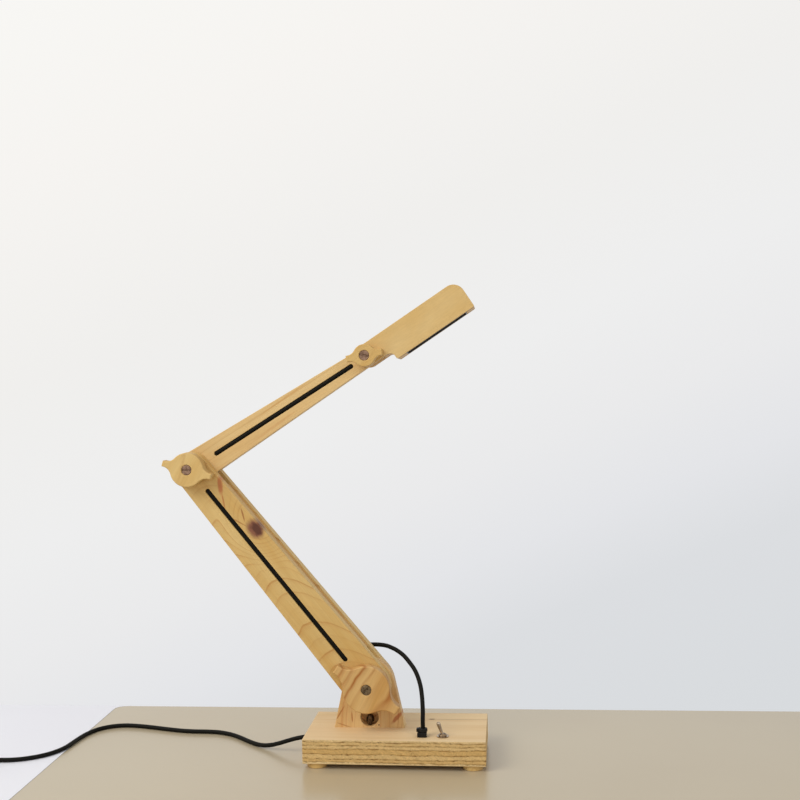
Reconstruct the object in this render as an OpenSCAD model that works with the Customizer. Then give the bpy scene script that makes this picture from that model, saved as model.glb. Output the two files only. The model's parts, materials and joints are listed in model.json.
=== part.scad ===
// Desk lamp of pine boards with two arms that fold like an accordion.
// Millimetres. +X to the right, +Y to the back, +Z up.
// The origin is on the table, under the middle of the base block.

/* [Base] */
// Width of the plywood block
base_w = 180; // [170:2:200]
// Depth of the block, front to back
base_d = 92; // [86:1:110]
// Thickness of the block
base_t = 24; // [22:1:28]
// Wood left above the wiring pocket
base_skin = 4; // [3:0.5:5]
// Wood between the wiring pocket and the block's two ends
pocket_end_wall = 32; // [28:1:33]
// Wood between the pocket and the block's front face
pocket_front_wall = 8; // [7.5:0.5:9]
// Wood between the pocket and the block's back face
pocket_back_wall = 26; // [24:1:28]
// Thickness of the cover under the pocket
cover_t = 3; // [2:0.5:4]
// Width of the ledge that the cover lies on
cover_lip = 6; // [5:0.5:7]
// Diameter of a wooden foot
foot_d = 20; // [16:1:24]
// Height of a foot
foot_h = 5; // [4:0.5:8]
// Distance from a foot's middle to the block's end
foot_inset = 13; // [12:0.5:16]
// Distance from a foot's middle to the block's front or back
foot_setback = 11.5; // [11.5:0.5:14]

/* [Post] */
// Place of the post, from the middle of the base
post_x = -28; // [-34:1:-24]
// Width of the post where it stands on the base
post_w = 72; // [68:1:78]
// Thickness of the boards in the middle layer: the post and the upper arm
core_t = 12; // [11:0.5:14]
// Lean of the post's two sides
post_lean = 12.3; // [10:0.1:14]
// Height of the lower pivot over the base block
pivot_h = 44; // [42:0.5:50]
// Diameter of the cross hole in the post
cross_hole_d = 18.5; // [16:0.5:20]
// Height of the cross hole's middle over the base block
cross_hole_h = 10.5; // [10.5:0.5:12]
// Wood left at the back of the cross hole
cross_hole_back = 1.2; // [0.8:0.1:1.4]

/* [Lower arm] */
// Distance between the lower arm's two pivots
lower_len = 284; // [260:2:310]
// Lean of the lower arm to the left of upright, as it stands
lower_lean = 39; // [34:0.5:44]
// Radius of the lower arm's end at the elbow
lower_elbow_r = 17.7; // [17:0.1:19]
// Radius of the lower arm's end at the post
lower_post_r = 23.6; // [23:0.1:25]
// Thickness of the outer boards of the lower arm and the head
board_t = 10; // [9:0.5:12]
// How far the lower arm's spacer lies in from the boards' edges
spacer_inset = 2; // [1.5:0.5:4]
// Distance from the elbow pivot to the spacer
spacer_from_elbow = 35; // [34:0.5:40]
// Distance from the lower pivot to the spacer
spacer_from_post = 30; // [29:0.5:31]
// Distance from the elbow pivot to the upper end of the lead's groove
lower_groove_top = 29; // [27:0.5:30]
// Distance from the lower pivot to the lower end of the lead's groove
lower_groove_foot = 35.5; // [35:0.5:38]

/* [Upper arm] */
// Distance between the upper arm's two pivots
upper_len = 214.5; // [200:0.5:230]
// Rise of the upper arm over level, as it stands
upper_rise = 31.4; // [26:0.2:36]
// Radius of the upper arm's end at the elbow
upper_elbow_r = 17; // [16:0.1:17.4]
// Radius of the upper arm's end in the head
upper_head_r = 9.8; // [9:0.1:10.4]
// Distance from the elbow pivot to the lower end of the lead's groove
upper_groove_root = 29.5; // [28:0.5:32]
// Distance from the head pivot to the upper end of the lead's groove
upper_groove_tip = 19.5; // [18:0.5:22]

/* [Head] */
// Rise of the head over level, as it stands
head_rise = 33; // [30:0.5:38]
// Length of the head from its pivot to its end
head_len = 117.5; // [114:0.5:130]
// Half the height of the neck, and the radius of its end
neck_r = 11.2; // [11:0.1:12]
// Distance from the pivot's line down to the head's underside
head_drop = 20.6; // [20:0.2:24]
// Distance from the pivot to the chin
chin_x = 24.5; // [24:0.5:28]
// Radius between the neck and the chin
chin_r = 6; // [4:0.5:7]
// Radius of the head's upper outer corner
tip_r = 12; // [8:0.5:14]
// Distance from the pivot to the head's middle layer
head_core_x = 15; // [14:0.5:16]
// Distance from the pivot to the hole where the lead enters the head
head_hole_x = 24; // [23:0.5:25]
// Distance from the pivot to the lamp tray
tray_x = 35.2; // [34:0.2:37]
// Length of the lamp tray
tray_len = 72.5; // [66:0.5:74]
// Width of the lamp tray
tray_w = 27; // [24:0.5:28]
// Depth of the lamp tray
tray_h = 9; // [8.5:0.25:10]
// Wall of the lamp tray
tray_wall = 1.2; // [1:0.1:1.6]
// Thickness of the light board
led_board_t = 1.6; // [1:0.1:2]
// Gap between the light board's ends and the tray
led_board_gap = 1; // [0.5:0.1:2]
// Gap between the light board's sides and the tray
led_side_gap = 4; // [2:0.5:6]
// Number of light chips on the board
led_count = 8; // [6:1:8]
// Side of a light chip
led_side = 5; // [3.5:0.5:5.5]
// Height of a light chip
led_t = 1.4; // [1:0.1:1.6]
// Thickness of the frosted lens
lens_t = 1.4; // [1:0.1:1.6]
// How far the lens lies in from the tray's mouth
lens_inset = 2.6; // [2:0.1:2.8]

/* [Knobs and screws] */
// Thickness of a wing knob
knob_t = 12; // [10:0.5:15]
// Radius of the post knob's disc
post_knob_r = 23.7; // [22:0.1:24.5]
// Reach of the post knob's ears from its middle
post_knob_reach = 37; // [36:0.2:41]
// Turn of the post knob, as it stands
post_knob_turn = 34; // [0:1:90]
// Radius of the elbow knob's disc
elbow_knob_r = 17.4; // [15:0.1:18.5]
// Reach of the elbow knob's ears
elbow_knob_reach = 26.2; // [25:0.2:30]
// Turn of the elbow knob
elbow_knob_turn = 16; // [0:1:90]
// Radius of the head knob's disc
head_knob_r = 11.2; // [9:0.1:12]
// Reach of the head knob's ears
head_knob_reach = 18.4; // [17:0.2:22]
// Turn of the head knob
head_knob_turn = -10; // [-40:1:40]
// Diameter of the clamp screws
screw_d = 6; // [5:0.5:6]
// Length of a clamp screw under its head
screw_len = 45; // [43:1:48]
// Diameter of a clamp screw's head
screw_head_d = 10; // [9:0.5:11]
// Height of a clamp screw's head
screw_head_h = 3.9; // [3:0.1:5]
// Width across the flats of a clamp nut
nut_af = 10; // [9:0.5:11]
// Thickness of a clamp nut
nut_t = 5; // [4:0.5:6]
// Diameter of the upright bolt in the post
bolt_d = 4; // [3.5:0.5:5]
// Height of the bolt's bare thread in the cross hole
bolt_bare = 3.6; // [2:0.2:4]
// Width across the flats of the cap nut in the cross hole
cap_nut_af = 7; // [6:0.5:8]
// Height of the cap nut
cap_nut_h = 7.6; // [6:0.2:8]

/* [Switch] */
// Distance from the toggle switch to the block's right end
toggle_inset = 42.5; // [40:0.5:44]
// Distance from the toggle switch to the block's front face
toggle_setback = 15.5; // [15.5:0.5:20]
// Diameter of the threaded bushing
bushing_d = 6; // [5:0.5:7]
// Height of the bushing above the base block
bushing_up = 3; // [2.8:0.2:4]
// Width of the switch body
switch_w = 13; // [11:0.5:14]
// Depth of the switch body
switch_d = 8; // [7:0.5:9]
// Height of the switch body
switch_h = 9.5; // [8:0.5:10]
// Diameter of the toothed washer
lock_washer_d = 12; // [11:0.5:13]
// Thickness of the toothed washer
lock_washer_t = 0.8; // [0.6:0.1:1]
// Diameter of the round switch nut
switch_nut_d = 8; // [8:0.5:9.5]
// Thickness of the switch nut
switch_nut_t = 1.6; // [1.4:0.1:1.8]
// Length of the lever from its ball to its tip
lever_len = 14; // [11:0.5:15]
// Lean of the lever to the left, as it stands
lever_lean = 19; // [15:1:20]

/* [Lamp lead] */
// Diameter of the lamp lead and of the power cord
lead_d = 4.4; // [4:0.1:4.6]
// Place of the lead's gland, to the right of the base's middle
gland_x = 28.2; // [26:0.2:30]
// Distance from the lead's middle in the gland to the block's front face
gland_setback = 15; // [14:0.5:16]
// Width of the gland
gland_w = 9; // [8:0.5:10]
// Height of the gland's block
gland_h = 4.5; // [4:0.5:6]
// Height of the gland's neck, which the tie goes round
gland_neck_h = 4; // [3.6:0.2:5]
// Height of the cable tie's band
tie_band_h = 3.2; // [2.5:0.1:3.4]
// Thickness of the cable tie's band
tie_band_t = 1; // [0.8:0.1:1.4]

/* [Power cord] */
// Height of the cord's exit over the table
exit_z = 17; // [16:0.5:18]
// Turns of the coil in each of its two layers
coil_turns = 3.5; // [3.5:1:4.5]
// Middle radius of the coil
coil_r = 23; // [22:0.5:27]
// Distance from one turn's middle to the next
coil_pitch = 5; // [4.9:0.1:5.4]
// Length of the plug's moulded body
plug_body_len = 24; // [20:1:30]
// Width of the plug's moulded body
plug_body_w = 15.5; // [14:0.5:18]
// Thickness of the plug's moulded body
plug_body_t = 8; // [7:0.5:9]
// Length of the plug's metal shell outside the body
plug_shell_len = 18.8; // [17:0.2:20]

/* [Hidden] */
$fn = 96;
play = 0.25; // between boards that slide on each other
pin_play = 0.05; // round a screw, bolt or ball that turns in its hole
fit = 0.1; // round a piece that sits still in its hole
eps = 0.5; // how far a cutting shape runs past a face
bend_more = 0.06; // how much thicker a lead is in a sharp bend
slot_w = 1.6; // slot in a screw head
slot_deep = 1.8;
head_seat = 0.3; // how far a clamp screw's head lies under the knob's face
nut_seat = 0.2; // how far a clamp nut lies under the board's face
post_ear = 4.4; // half the width of an ear at its end
elbow_ear = 3;
head_ear = 3.1;
ear_flat = 1.8; // straight end of an ear, outside its hollow curve
side_steps = 12; // straight pieces in a rounded corner

// Heights and layers. The layers are named from the middle plane, y = 0.
top_z = foot_h + base_t;
pivot = [post_x, 0, top_z + pivot_h];
core_gap = core_t / 2 + play;
outer_y = core_gap + board_t;
knob_y = outer_y + play;
knob_face = knob_y + knob_t;
lower_turn = 90 + lower_lean;
elbow = pivot + lower_len * [cos(lower_turn), 0, sin(lower_turn)];
head_pivot = elbow + upper_len * [cos(upper_rise), 0, sin(upper_rise)];
pocket_top = top_z - base_skin;
toggle_x = base_w / 2 - toggle_inset;
toggle_y = toggle_setback - base_d / 2;
gland_y = gland_setback - base_d / 2;
pocket_x = base_w / 2 - pocket_end_wall;
pocket_y0 = pocket_front_wall - base_d / 2;
pocket_d = base_d - pocket_front_wall - pocket_back_wall;
cover_top = foot_h + cover_t;

// The lead lies flush in its grooves and goes square through the boards.
groove_w = lead_d + 0.3;
groove_deep = lead_d + 0.2;
lead_hole_d = lead_d + 0.5;
lead_end = 1; // how far the lead stands out at the back before it bends
lower_lead_y = -outer_y + groove_deep / 2;
upper_lead_y = -core_t / 2 + groove_deep / 2;
lower_hole_foot = pivot + lower_groove_foot * [cos(lower_turn), 0, sin(lower_turn)];
lower_hole_top = elbow - lower_groove_top * [cos(lower_turn), 0, sin(lower_turn)];
upper_hole_root = elbow + upper_groove_root * [cos(upper_rise), 0, sin(upper_rise)];
upper_hole_tip = head_pivot - upper_groove_tip * [cos(upper_rise), 0, sin(upper_rise)];
head_hole = head_pivot + head_hole_x * [cos(head_rise), 0, sin(head_rise)];
back_of_lower = [0, outer_y + lead_end, 0];
back_of_upper = [0, core_t / 2 + lead_end, 0];
gland_top = [gland_x, gland_y, top_z + gland_h + gland_neck_h + lead_end];

// Free routes of the lamp lead, from one board to the next.
loop_joint = pivot + [24, 22, 29];
loop_heading = [-18, 9, 6];
base_loop_lower_route = concat(
    [gland_top, gland_top + [-0.1, 0.4, 6.5], gland_top + [0, 2.2, 13], gland_top + [-0.4, 5.5, 19.5],
        gland_top + [-1.3, 11.2, 26.5], gland_top + [-3.1, 18.1, 34.5]],
    [for (p = [[50, -5, 7], [46, 2, 13], [40, 9, 19], [33, 16, 24.5]]) pivot + p],
    [loop_joint]
);
base_loop_upper_route = concat(
    [loop_joint],
    [for (p = [[15, 26, 31.5], [5, 29, 32], [-5, 30, 31.5], [-14, 28.5, 30], [-20, 24.5, 28.5],
        [-22, 20.5, 27.7]]) pivot + p],
    [lower_hole_foot + back_of_lower]
);
elbow_loop_route = concat(
    [lower_hole_top + back_of_lower],
    [for (p = [[17.7, 22, -21.7], [13.7, 27, -18.2], [9.7, 30.5, -11.7], [7.7, 31, -3.2],
        [9.7, 29, 4.8], [14.2, 24, 10.8], [19.7, 17, 14.3], [23.7, 11, 15.3]]) elbow + p],
    [upper_hole_root + back_of_upper]
);
head_loop_route = concat(
    [upper_hole_tip + back_of_upper],
    [for (p = [[-16.2, 13, -10], [-13.4, 20, -7.7], [-8.4, 26, -4.7], [-0.4, 29, 0.3], [7.6, 28.5, 5.3],
        [14.6, 26, 9.8], [18.6, 22, 12.3]]) head_pivot + p],
    [head_hole + back_of_lower]
);

// Route of the power cord over the table, from the base's left end to the coil.
cord_z = lead_d / 2;
strap_t = 1;
coil_lift = strap_t + 0.2; // the coil lies on its tie
cord_exit = [-base_w / 2, 0, exit_z];
coil_mid = [-438, -75];
coil_out_r = coil_r + coil_turns * coil_pitch / 2;
coil_in_r = coil_r - coil_turns * coil_pitch / 2;
coil_z = cord_z + coil_lift;
coil_start = [coil_mid[0] + lead_d, coil_mid[1] + coil_out_r, coil_z];
coil_end = [coil_mid[0] - lead_d, coil_mid[1] + coil_out_r, coil_z + coil_pitch];
cord_route = [
    cord_exit, [-97, 0, 16.6], [-106, 0.8, 14.6], [-115, 2.4, 11.6], [-124, 4.8, 8.2],
    [-133, 8, 5.2], [-142, 12.2, 3.2], [-151, 18, 2.4], [-160, 25.5, cord_z],
    [-169, 34, cord_z], [-179, 43, cord_z], [-190, 50.5, cord_z], [-203, 55.5, cord_z],
    [-217, 57, cord_z], [-231, 57.2, cord_z], [-245, 59, cord_z], [-259, 62.5, cord_z],
    [-273, 66.5, cord_z], [-287, 70.5, cord_z], [-301, 73.5, cord_z], [-314, 74.5, cord_z],
    [-326, 71.5, cord_z], [-336, 64.5, cord_z], [-343, 54, cord_z], [-347, 41, cord_z],
    [-349, 27, cord_z], [-350, 13, cord_z], [-351.5, -1, cord_z], [-356, -14, cord_z],
    [-364, -25.5, cord_z], [-375, -34, cord_z], [-388, -39.5, cord_z],
    [-402, -42, cord_z + 0.3], [-416, -42.6, cord_z + 0.8], coil_start
];
plug_z = plug_body_t / 2;
tail_x = [-454, -466, -477];
plug_tail = [-486, coil_end[1], plug_z];
cord_tail_route = [
    coil_end, [tail_x[0], coil_end[1], coil_end[2] - 0.6], [tail_x[1], coil_end[1], 5.6],
    [tail_x[2], coil_end[1], 4.2], plug_tail
];

// ---------- Shapes that repeat ----------

// Points on an arc, from angle a to angle b
function arc(c, r, a, b, n = side_steps) =
    [for (i = [0 : n]) c + r * [cos(a + (b - a) * i / n), sin(a + (b - a) * i / n)]];

// A flat shape drawn in X and Z, made a board from y0 to y1
module board(y0, y1) {
    translate([0, y1, 0]) rotate([90, 0, 0]) linear_extrude(y1 - y0) children();
}

// A round bar along Y, from y0 to y1
module bar_y(d, y0, y1) {
    translate([0, y1, 0]) rotate([90, 0, 0]) cylinder(h = y1 - y0, d = d);
}

// A round bar from one point to another
module rod(p, q, d) {
    v = q - p;
    translate(p) rotate([0, acos(v[2] / norm(v)), atan2(v[1], v[0])]) cylinder(h = norm(v), d = d);
}

// A bent round bar through a few points, with a ball in each bend
module bent_rod(points, d) {
    $fn = 32;
    for (i = [0 : len(points) - 2]) rod(points[i], points[i + 1], d);
    for (i = [1 : len(points) - 2]) translate(points[i]) sphere(d = d + bend_more);
}

// A slot with round ends, drawn flat, from x0 to x1
module slot(x0, x1, w) {
    translate([x0, -w / 2]) square([x1 - x0, w]);
    translate([x0, 0]) circle(d = w);
    translate([x1, 0]) circle(d = w);
}

// Outline of an arm: two round ends of different radius and the straight sides between them
function taper(l, r0, r1) =
    let (a = asin((r0 - r1) / l))
    concat(arc([0, 0], r0, 90 - a, 270 + a, 24), arc([l, 0], r1, a - 90, 90 - a, 24));

// Outline of a wing knob: a disc with two ears, and a hollow curve on each side of an ear
function wing(r, reach, ear) =
    let (
        fx = reach - ear_flat,
        hollow = (fx * fx + ear * ear - r * r) / (2 * (r - ear)),
        b = atan2(ear + hollow, fx)
    )
    concat(
        [[reach, -ear], [reach, ear]],
        arc([fx, ear + hollow], hollow, 270, 180 + b),
        arc([0, 0], r, b, 180 - b, 24),
        arc([-fx, ear + hollow], hollow, -b, -90),
        [[-reach, ear], [-reach, -ear]],
        arc([-fx, -ear - hollow], hollow, 90, b),
        arc([0, 0], r, 180 + b, 360 - b, 24),
        arc([fx, -ear - hollow], hollow, 180 - b, 90)
    );

// Sweeps a tube of n sides along points; each ring is square to the route
function unit(v) = v / norm(v);
function heading(p, i) =
    unit(p[min(i + 1, len(p) - 1)] - p[max(i - 1, 0)]);
// Carries the sideways direction along the route, so that the tube doesn't twist
function frames(p, i, side) =
    let (t = heading(p, i), s = unit(side - (side * t) * t))
    i == len(p) - 1 ? [[t, s]] : concat([[t, s]], frames(p, i + 1, s));
function square_ends(p, first, last) =
    let (f = frames(p, 0, abs(heading(p, 0)[2]) > 0.9 ? [1, 0, 0] : [0, 0, 1]))
    [for (i = [0 : len(p) - 1])
        let (
            t = i == 0 && first != undef ? first : i == len(p) - 1 && last != undef ? last : f[i][0],
            s = unit(f[i][1] - (f[i][1] * t) * t)
        )
        [t, s]];
module tube(p, d, sides = 8, first = undef, last = undef) {
    f = square_ends(p, first, last);
    rings = [for (i = [0 : len(p) - 1])
        for (k = [0 : sides - 1])
            p[i] + d / 2 * (cos(360 * k / sides) * f[i][1]
                + sin(360 * k / sides) * cross(f[i][0], f[i][1]))];
    walls = [for (i = [0 : len(p) - 2])
        for (k = [0 : sides - 1])
            let (a = i * sides + k, b = i * sides + (k + 1) % sides)
            each [[a, a + sides, b], [b, a + sides, b + sides]]];
    ends = [for (k = [1 : sides - 2])
        each [[0, k, k + 1], [for (j = [k + 1, k, 0]) (len(p) - 1) * sides + j]]];
    polyhedron(rings, concat(walls, ends));
}

// Slotted screw with a round head, its shank along +Y from the underside of the head
module slotted_screw(d, l, head_d, head_h) {
    difference() {
        union() {
            bar_y(head_d, -head_h, 0);
            bar_y(d, -head_h / 2, l);
        }
        translate([-head_d, -head_h - eps, -slot_w / 2]) cube([2 * head_d, slot_deep + eps, slot_w]);
    }
}

// Six-sided nut round the Y axis, from y0 to y1
module nut_y(af, hole, y0, y1) {
    difference() {
        translate([0, y1, 0]) rotate([90, 30, 0]) cylinder(h = y1 - y0, d = af / cos(30), $fn = 6);
        bar_y(hole, y0 - eps, y1 + eps);
    }
}

// ---------- Places ----------

module at_post() { translate(pivot) children(); }
module at_lower_arm() { translate(pivot) rotate([0, -lower_turn, 0]) children(); }
module at_elbow() { translate(elbow) children(); }
module at_upper_arm() { translate(elbow) rotate([0, -upper_rise, 0]) children(); }
module at_head_pivot() { translate(head_pivot) children(); }
module at_head() { translate(head_pivot) rotate([0, -head_rise, 0]) children(); }
module at_switch() { translate([toggle_x, toggle_y, top_z]) children(); }

// ---------- Base ----------

bolt_boss_w = 26; // solid wood left round the upright bolt
bolt_head_d = 8;
bolt_head_h = 3;
bolt_washer_d = 12;
bolt_washer_t = 1;
cover_screw_d = 3;
cover_screw_len = 10;
cross_slot_w = 0.8;
cross_slot_deep = 1;
gland_tail_d = 6.8;

cover_w = 2 * (pocket_x + cover_lip);
cover_d = pocket_d + 2 * cover_lip;
cover_screw_spots = [for (x = [-1, 1]) for (y = [0, 1])
    [x * (cover_w - cover_lip) / 2, pocket_y0 - cover_lip / 2 + y * (pocket_d + cover_lip)]];

module pocket_shape() {
    difference() {
        translate([-pocket_x, pocket_y0]) square([2 * pocket_x, pocket_d]);
        translate([post_x - bolt_boss_w / 2, -bolt_boss_w / 2])
            square([bolt_boss_w, pocket_d]);
    }
}

module base_block() {
    color("burlywood") difference() {
        translate([-base_w / 2, -base_d / 2, foot_h]) cube([base_w, base_d, base_t]);
        translate([0, 0, foot_h - eps]) linear_extrude(pocket_top - foot_h + eps) pocket_shape();
        translate([-cover_w / 2 - fit, pocket_y0 - cover_lip - fit, foot_h - eps])
            cube([cover_w + 2 * fit, cover_d + 2 * fit, cover_t + fit + eps]);
        // upright bolt, with its head and washer sunk into the boss
        translate([post_x, 0, foot_h]) cylinder(h = base_t + eps, r = bolt_d / 2 + pin_play);
        translate([post_x, 0, foot_h])
            cylinder(h = cover_t + bolt_head_h + bolt_washer_t + fit, d = bolt_washer_d + 2 * fit);
        translate([toggle_x, toggle_y, pocket_top - eps])
            cylinder(h = base_skin + 2 * eps, d = bushing_d + 2 * fit);
        translate([gland_x, gland_y, pocket_top - eps])
            cylinder(h = base_skin + 2 * eps, d = gland_tail_d + 2 * fit);
        translate([-base_w / 2 - eps, 0, exit_z]) rotate([0, 90, 0])
            cylinder(h = base_w / 2 - pocket_x + 2 * eps, d = lead_d + 2 * fit);
        for (p = cover_screw_spots) translate([p[0], p[1], foot_h])
            cylinder(h = cover_screw_len + 2 * eps, d = cover_screw_d + 2 * fit);
    }
}

module base_cover() {
    color("tan") difference() {
        translate([-cover_w / 2, pocket_y0 - cover_lip, foot_h]) cube([cover_w, cover_d, cover_t]);
        for (p = cover_screw_spots) translate([p[0], p[1], foot_h]) {
            translate([0, 0, -eps]) cylinder(h = cover_t + 2 * eps, d = cover_screw_d + 2 * fit);
            translate([0, 0, -eps]) cylinder(h = cover_screw_d / 2 + eps + fit,
                d1 = 2 * cover_screw_d + 2 * eps + 2 * fit, d2 = cover_screw_d + 2 * fit);
        }
    }
}

module cover_screws() {
    color("silver") for (p = cover_screw_spots) translate([p[0], p[1], foot_h]) difference() {
        union() {
            cylinder(h = cover_screw_d / 2, d1 = 2 * cover_screw_d, d2 = cover_screw_d);
            cylinder(h = cover_screw_len, d = cover_screw_d);
        }
        for (a = [0, 90]) rotate(a) translate([-cover_screw_d * 0.7, -cross_slot_w / 2, -eps])
            cube([cover_screw_d * 1.4, cross_slot_w, cross_slot_deep + eps]);
    }
}

module foot(x, y) {
    color("wheat") translate([x * (base_w / 2 - foot_inset), y * (base_d / 2 - foot_setback), 0])
        cylinder(h = foot_h, d = foot_d);
}
module foot_front_left() { foot(-1, -1); }
module foot_front_right() { foot(1, -1); }
module foot_back_left() { foot(-1, 1); }
module foot_back_right() { foot(1, 1); }

// ---------- Upright bolt, on which the post turns ----------

hole_floor_z = top_z + cross_hole_h - cross_hole_d / 2;
cap_nut_z = hole_floor_z + bolt_bare;
bolt_head_z = foot_h + cover_t + bolt_head_h;
bolt_in_nut = 4; // how far the bolt goes into the cap nut

module post_bolt() {
    color("dimgray") translate([post_x, 0, 0]) {
        translate([0, 0, cover_top]) cylinder(h = bolt_head_h, d = bolt_head_d / cos(30), $fn = 6);
        translate([0, 0, bolt_head_z]) cylinder(h = cap_nut_z + bolt_in_nut - bolt_head_z, d = bolt_d);
    }
}

module post_bolt_washer() {
    color("silver") translate([post_x, 0, bolt_head_z]) difference() {
        cylinder(h = bolt_washer_t, d = bolt_washer_d);
        translate([0, 0, -eps]) cylinder(h = bolt_washer_t + 2 * eps, d = bolt_d + 2 * fit);
    }
}

module post_cap_nut() {
    dome_r = cap_nut_af / 2 - 0.2;
    color("gray") translate([post_x, 0, cap_nut_z]) difference() {
        union() {
            cylinder(h = cap_nut_h - dome_r, d = cap_nut_af / cos(30), $fn = 6);
            translate([0, 0, cap_nut_h - dome_r]) intersection() {
                sphere(r = dome_r);
                cylinder(h = dome_r, r = dome_r);
            }
        }
        translate([0, 0, -eps]) cylinder(h = bolt_in_nut + 2 * eps, r = bolt_d / 2 + pin_play);
    }
}

// ---------- Toggle switch ----------

switch_top = pocket_top - top_z;
ball_d = 4.4;
ball_z = bushing_up - 2;
ball_well = 4.6; // depth of the bushing's bore, where the ball sits
lever_root_d = 2.7;
lever_tip_d = 4;
terminal_h = 4;

module switch_body() {
    color("firebrick") at_switch() translate([-switch_w / 2, -switch_d / 2, switch_top - switch_h])
        cube([switch_w, switch_d, switch_h]);
}

module switch_bushing() {
    color("silver") at_switch() difference() {
        translate([0, 0, switch_top]) cylinder(h = bushing_up - switch_top, d = bushing_d);
        translate([0, 0, bushing_up - ball_well]) cylinder(h = ball_well + eps, r = ball_d / 2 + pin_play);
    }
}

module switch_terminals() {
    color("gold") at_switch() for (x = [-1, 0, 1])
        translate([x * switch_w / 3 - 0.4, -1, switch_top - switch_h - terminal_h])
            cube([0.8, 2, terminal_h]);
}

module switch_washer() {
    color("silver") at_switch() difference() {
        cylinder(h = lock_washer_t, d = lock_washer_d);
        translate([0, 0, -eps]) cylinder(h = lock_washer_t + 2 * eps, d = bushing_d + 2 * fit);
    }
}

module switch_nut() {
    color("silver") at_switch() translate([0, 0, lock_washer_t]) difference() {
        cylinder(h = switch_nut_t, d = switch_nut_d);
        translate([0, 0, -eps]) cylinder(h = switch_nut_t + 2 * eps, d = bushing_d + 2 * fit);
    }
}

module switch_lever() {
    color("lightgray") at_switch() translate([0, 0, ball_z]) rotate([0, -lever_lean, 0]) {
        sphere(d = ball_d);
        rotate_extrude() polygon(concat(
            [[0, 0], [lever_root_d / 2, 0], [lever_root_d / 2, 3]],
            arc([0, lever_len - lever_tip_d / 2], lever_tip_d / 2, 0, 90, 8)
        ));
    }
}

// ---------- Gland, tie and wiring in the base ----------

gland_neck_d = 6.6;
gland_off = 1; // how far the gland's block stands to the left of its neck
tie_d = gland_neck_d + 2 * tie_band_t + 0.2;
tie_z = top_z + gland_h + (gland_neck_h - tie_band_h) / 2;
tie_head = [4, 4.2, 3.4];
wire_d = 1.4;
block_size = [18, 14, 11];
block_mid = [post_x + 26, pocket_y0 + 16, cover_top + block_size[2] / 2];
block_screw_d = 3.2;
block_hole_y = 3.4; // half the distance between the block's two rows
wire_z = cover_top + 1.6; // the wires lie low, over the cover
terminal_z = pocket_top - switch_h - terminal_h;
wire_split = 9; // how far from the block the sheaths end and the wires part
power_sheath_end = block_mid - [block_size[0] / 2 + wire_split, 0, 0];
lamp_sheath_end = block_mid + [block_size[0] / 2 + wire_split, 0, 0];
stop_tie_t = 3.6;

module lead_gland() {
    color("black") translate([gland_x, gland_y, 0]) difference() {
        union() {
            translate([-gland_w / 2 - gland_off, -gland_w / 2, top_z])
                cube([gland_w, gland_w, gland_h]);
            translate([0, 0, pocket_top - 2]) cylinder(h = base_skin + 2 + eps, d = gland_tail_d);
            translate([0, 0, top_z + gland_h - eps]) cylinder(h = gland_neck_h + eps, d = gland_neck_d);
        }
        translate([0, 0, pocket_top - 3]) cylinder(h = gland_top[2], d = lead_d + 2 * pin_play);
    }
}

module gland_tie() {
    color("black") translate([gland_x, gland_y, tie_z]) difference() {
        union() {
            cylinder(h = tie_band_h, d = tie_d);
            translate([-tie_d / 2 - tie_head[0] / 2, -tie_head[1] / 2, (tie_band_h - tie_head[2]) / 2])
                cube(tie_head);
        }
        translate([0, 0, -eps]) cylinder(h = tie_band_h + 2 * eps, d = gland_neck_d + 2 * pin_play);
    }
}

module terminal_block() {
    color("ivory") translate(block_mid) difference() {
        translate(-block_size / 2) cube(block_size);
        for (y = [-1, 1]) {
            translate([-block_size[0], y * block_hole_y, 0]) rotate([0, 90, 0])
                cylinder(h = 2 * block_size[0], d = block_screw_d);
            for (x = [-1, 1]) translate([x * 5, y * block_hole_y, 0])
                cylinder(h = block_size[2], d = block_screw_d + 2 * fit);
        }
    }
}

module terminal_screws() {
    color("silver") translate(block_mid) for (x = [-1, 1]) for (y = [-1, 1])
        translate([x * 5, y * block_hole_y, wire_d / 2]) cylinder(h = 3, d = block_screw_d);
}

module power_lead_inside() {
    // straight through the wall and the tie, then two bends beside the bolt's boss
    past_tie = -pocket_x + stop_tie_t + 0.4;
    r = min(2 * lead_d, post_x - (bolt_boss_w + lead_d) / 2 - 0.5 - past_tie);
    bends = concat(arc([past_tie, -r], r, 90, 0, 4),
        arc([past_tie + 2 * r, block_mid[1] + r], r, 180, 270, 4));
    drop = (block_mid[2] - exit_z) / (len(bends) - 1);
    color("black") tube(concat([cord_exit],
        [for (i = [0 : len(bends) - 1]) [bends[i][0], bends[i][1], exit_z + i * drop]],
        [power_sheath_end]), lead_d, 8, [1, 0, 0], [1, 0, 0]);
}

module lamp_lead_inside() {
    high = block_mid[2];
    color("black") tube([gland_top, [gland_x, gland_y, pocket_top], [gland_x, gland_y, high + 6],
        [gland_x - 1, gland_y + 2, high + 2.5], [gland_x - 3, gland_y + 5, high + 0.5],
        [gland_x - 7, gland_y + 8.5, high], lamp_sheath_end], lead_d, 8, [0, 0, -1], [-1, 0, 0]);
}

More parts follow.
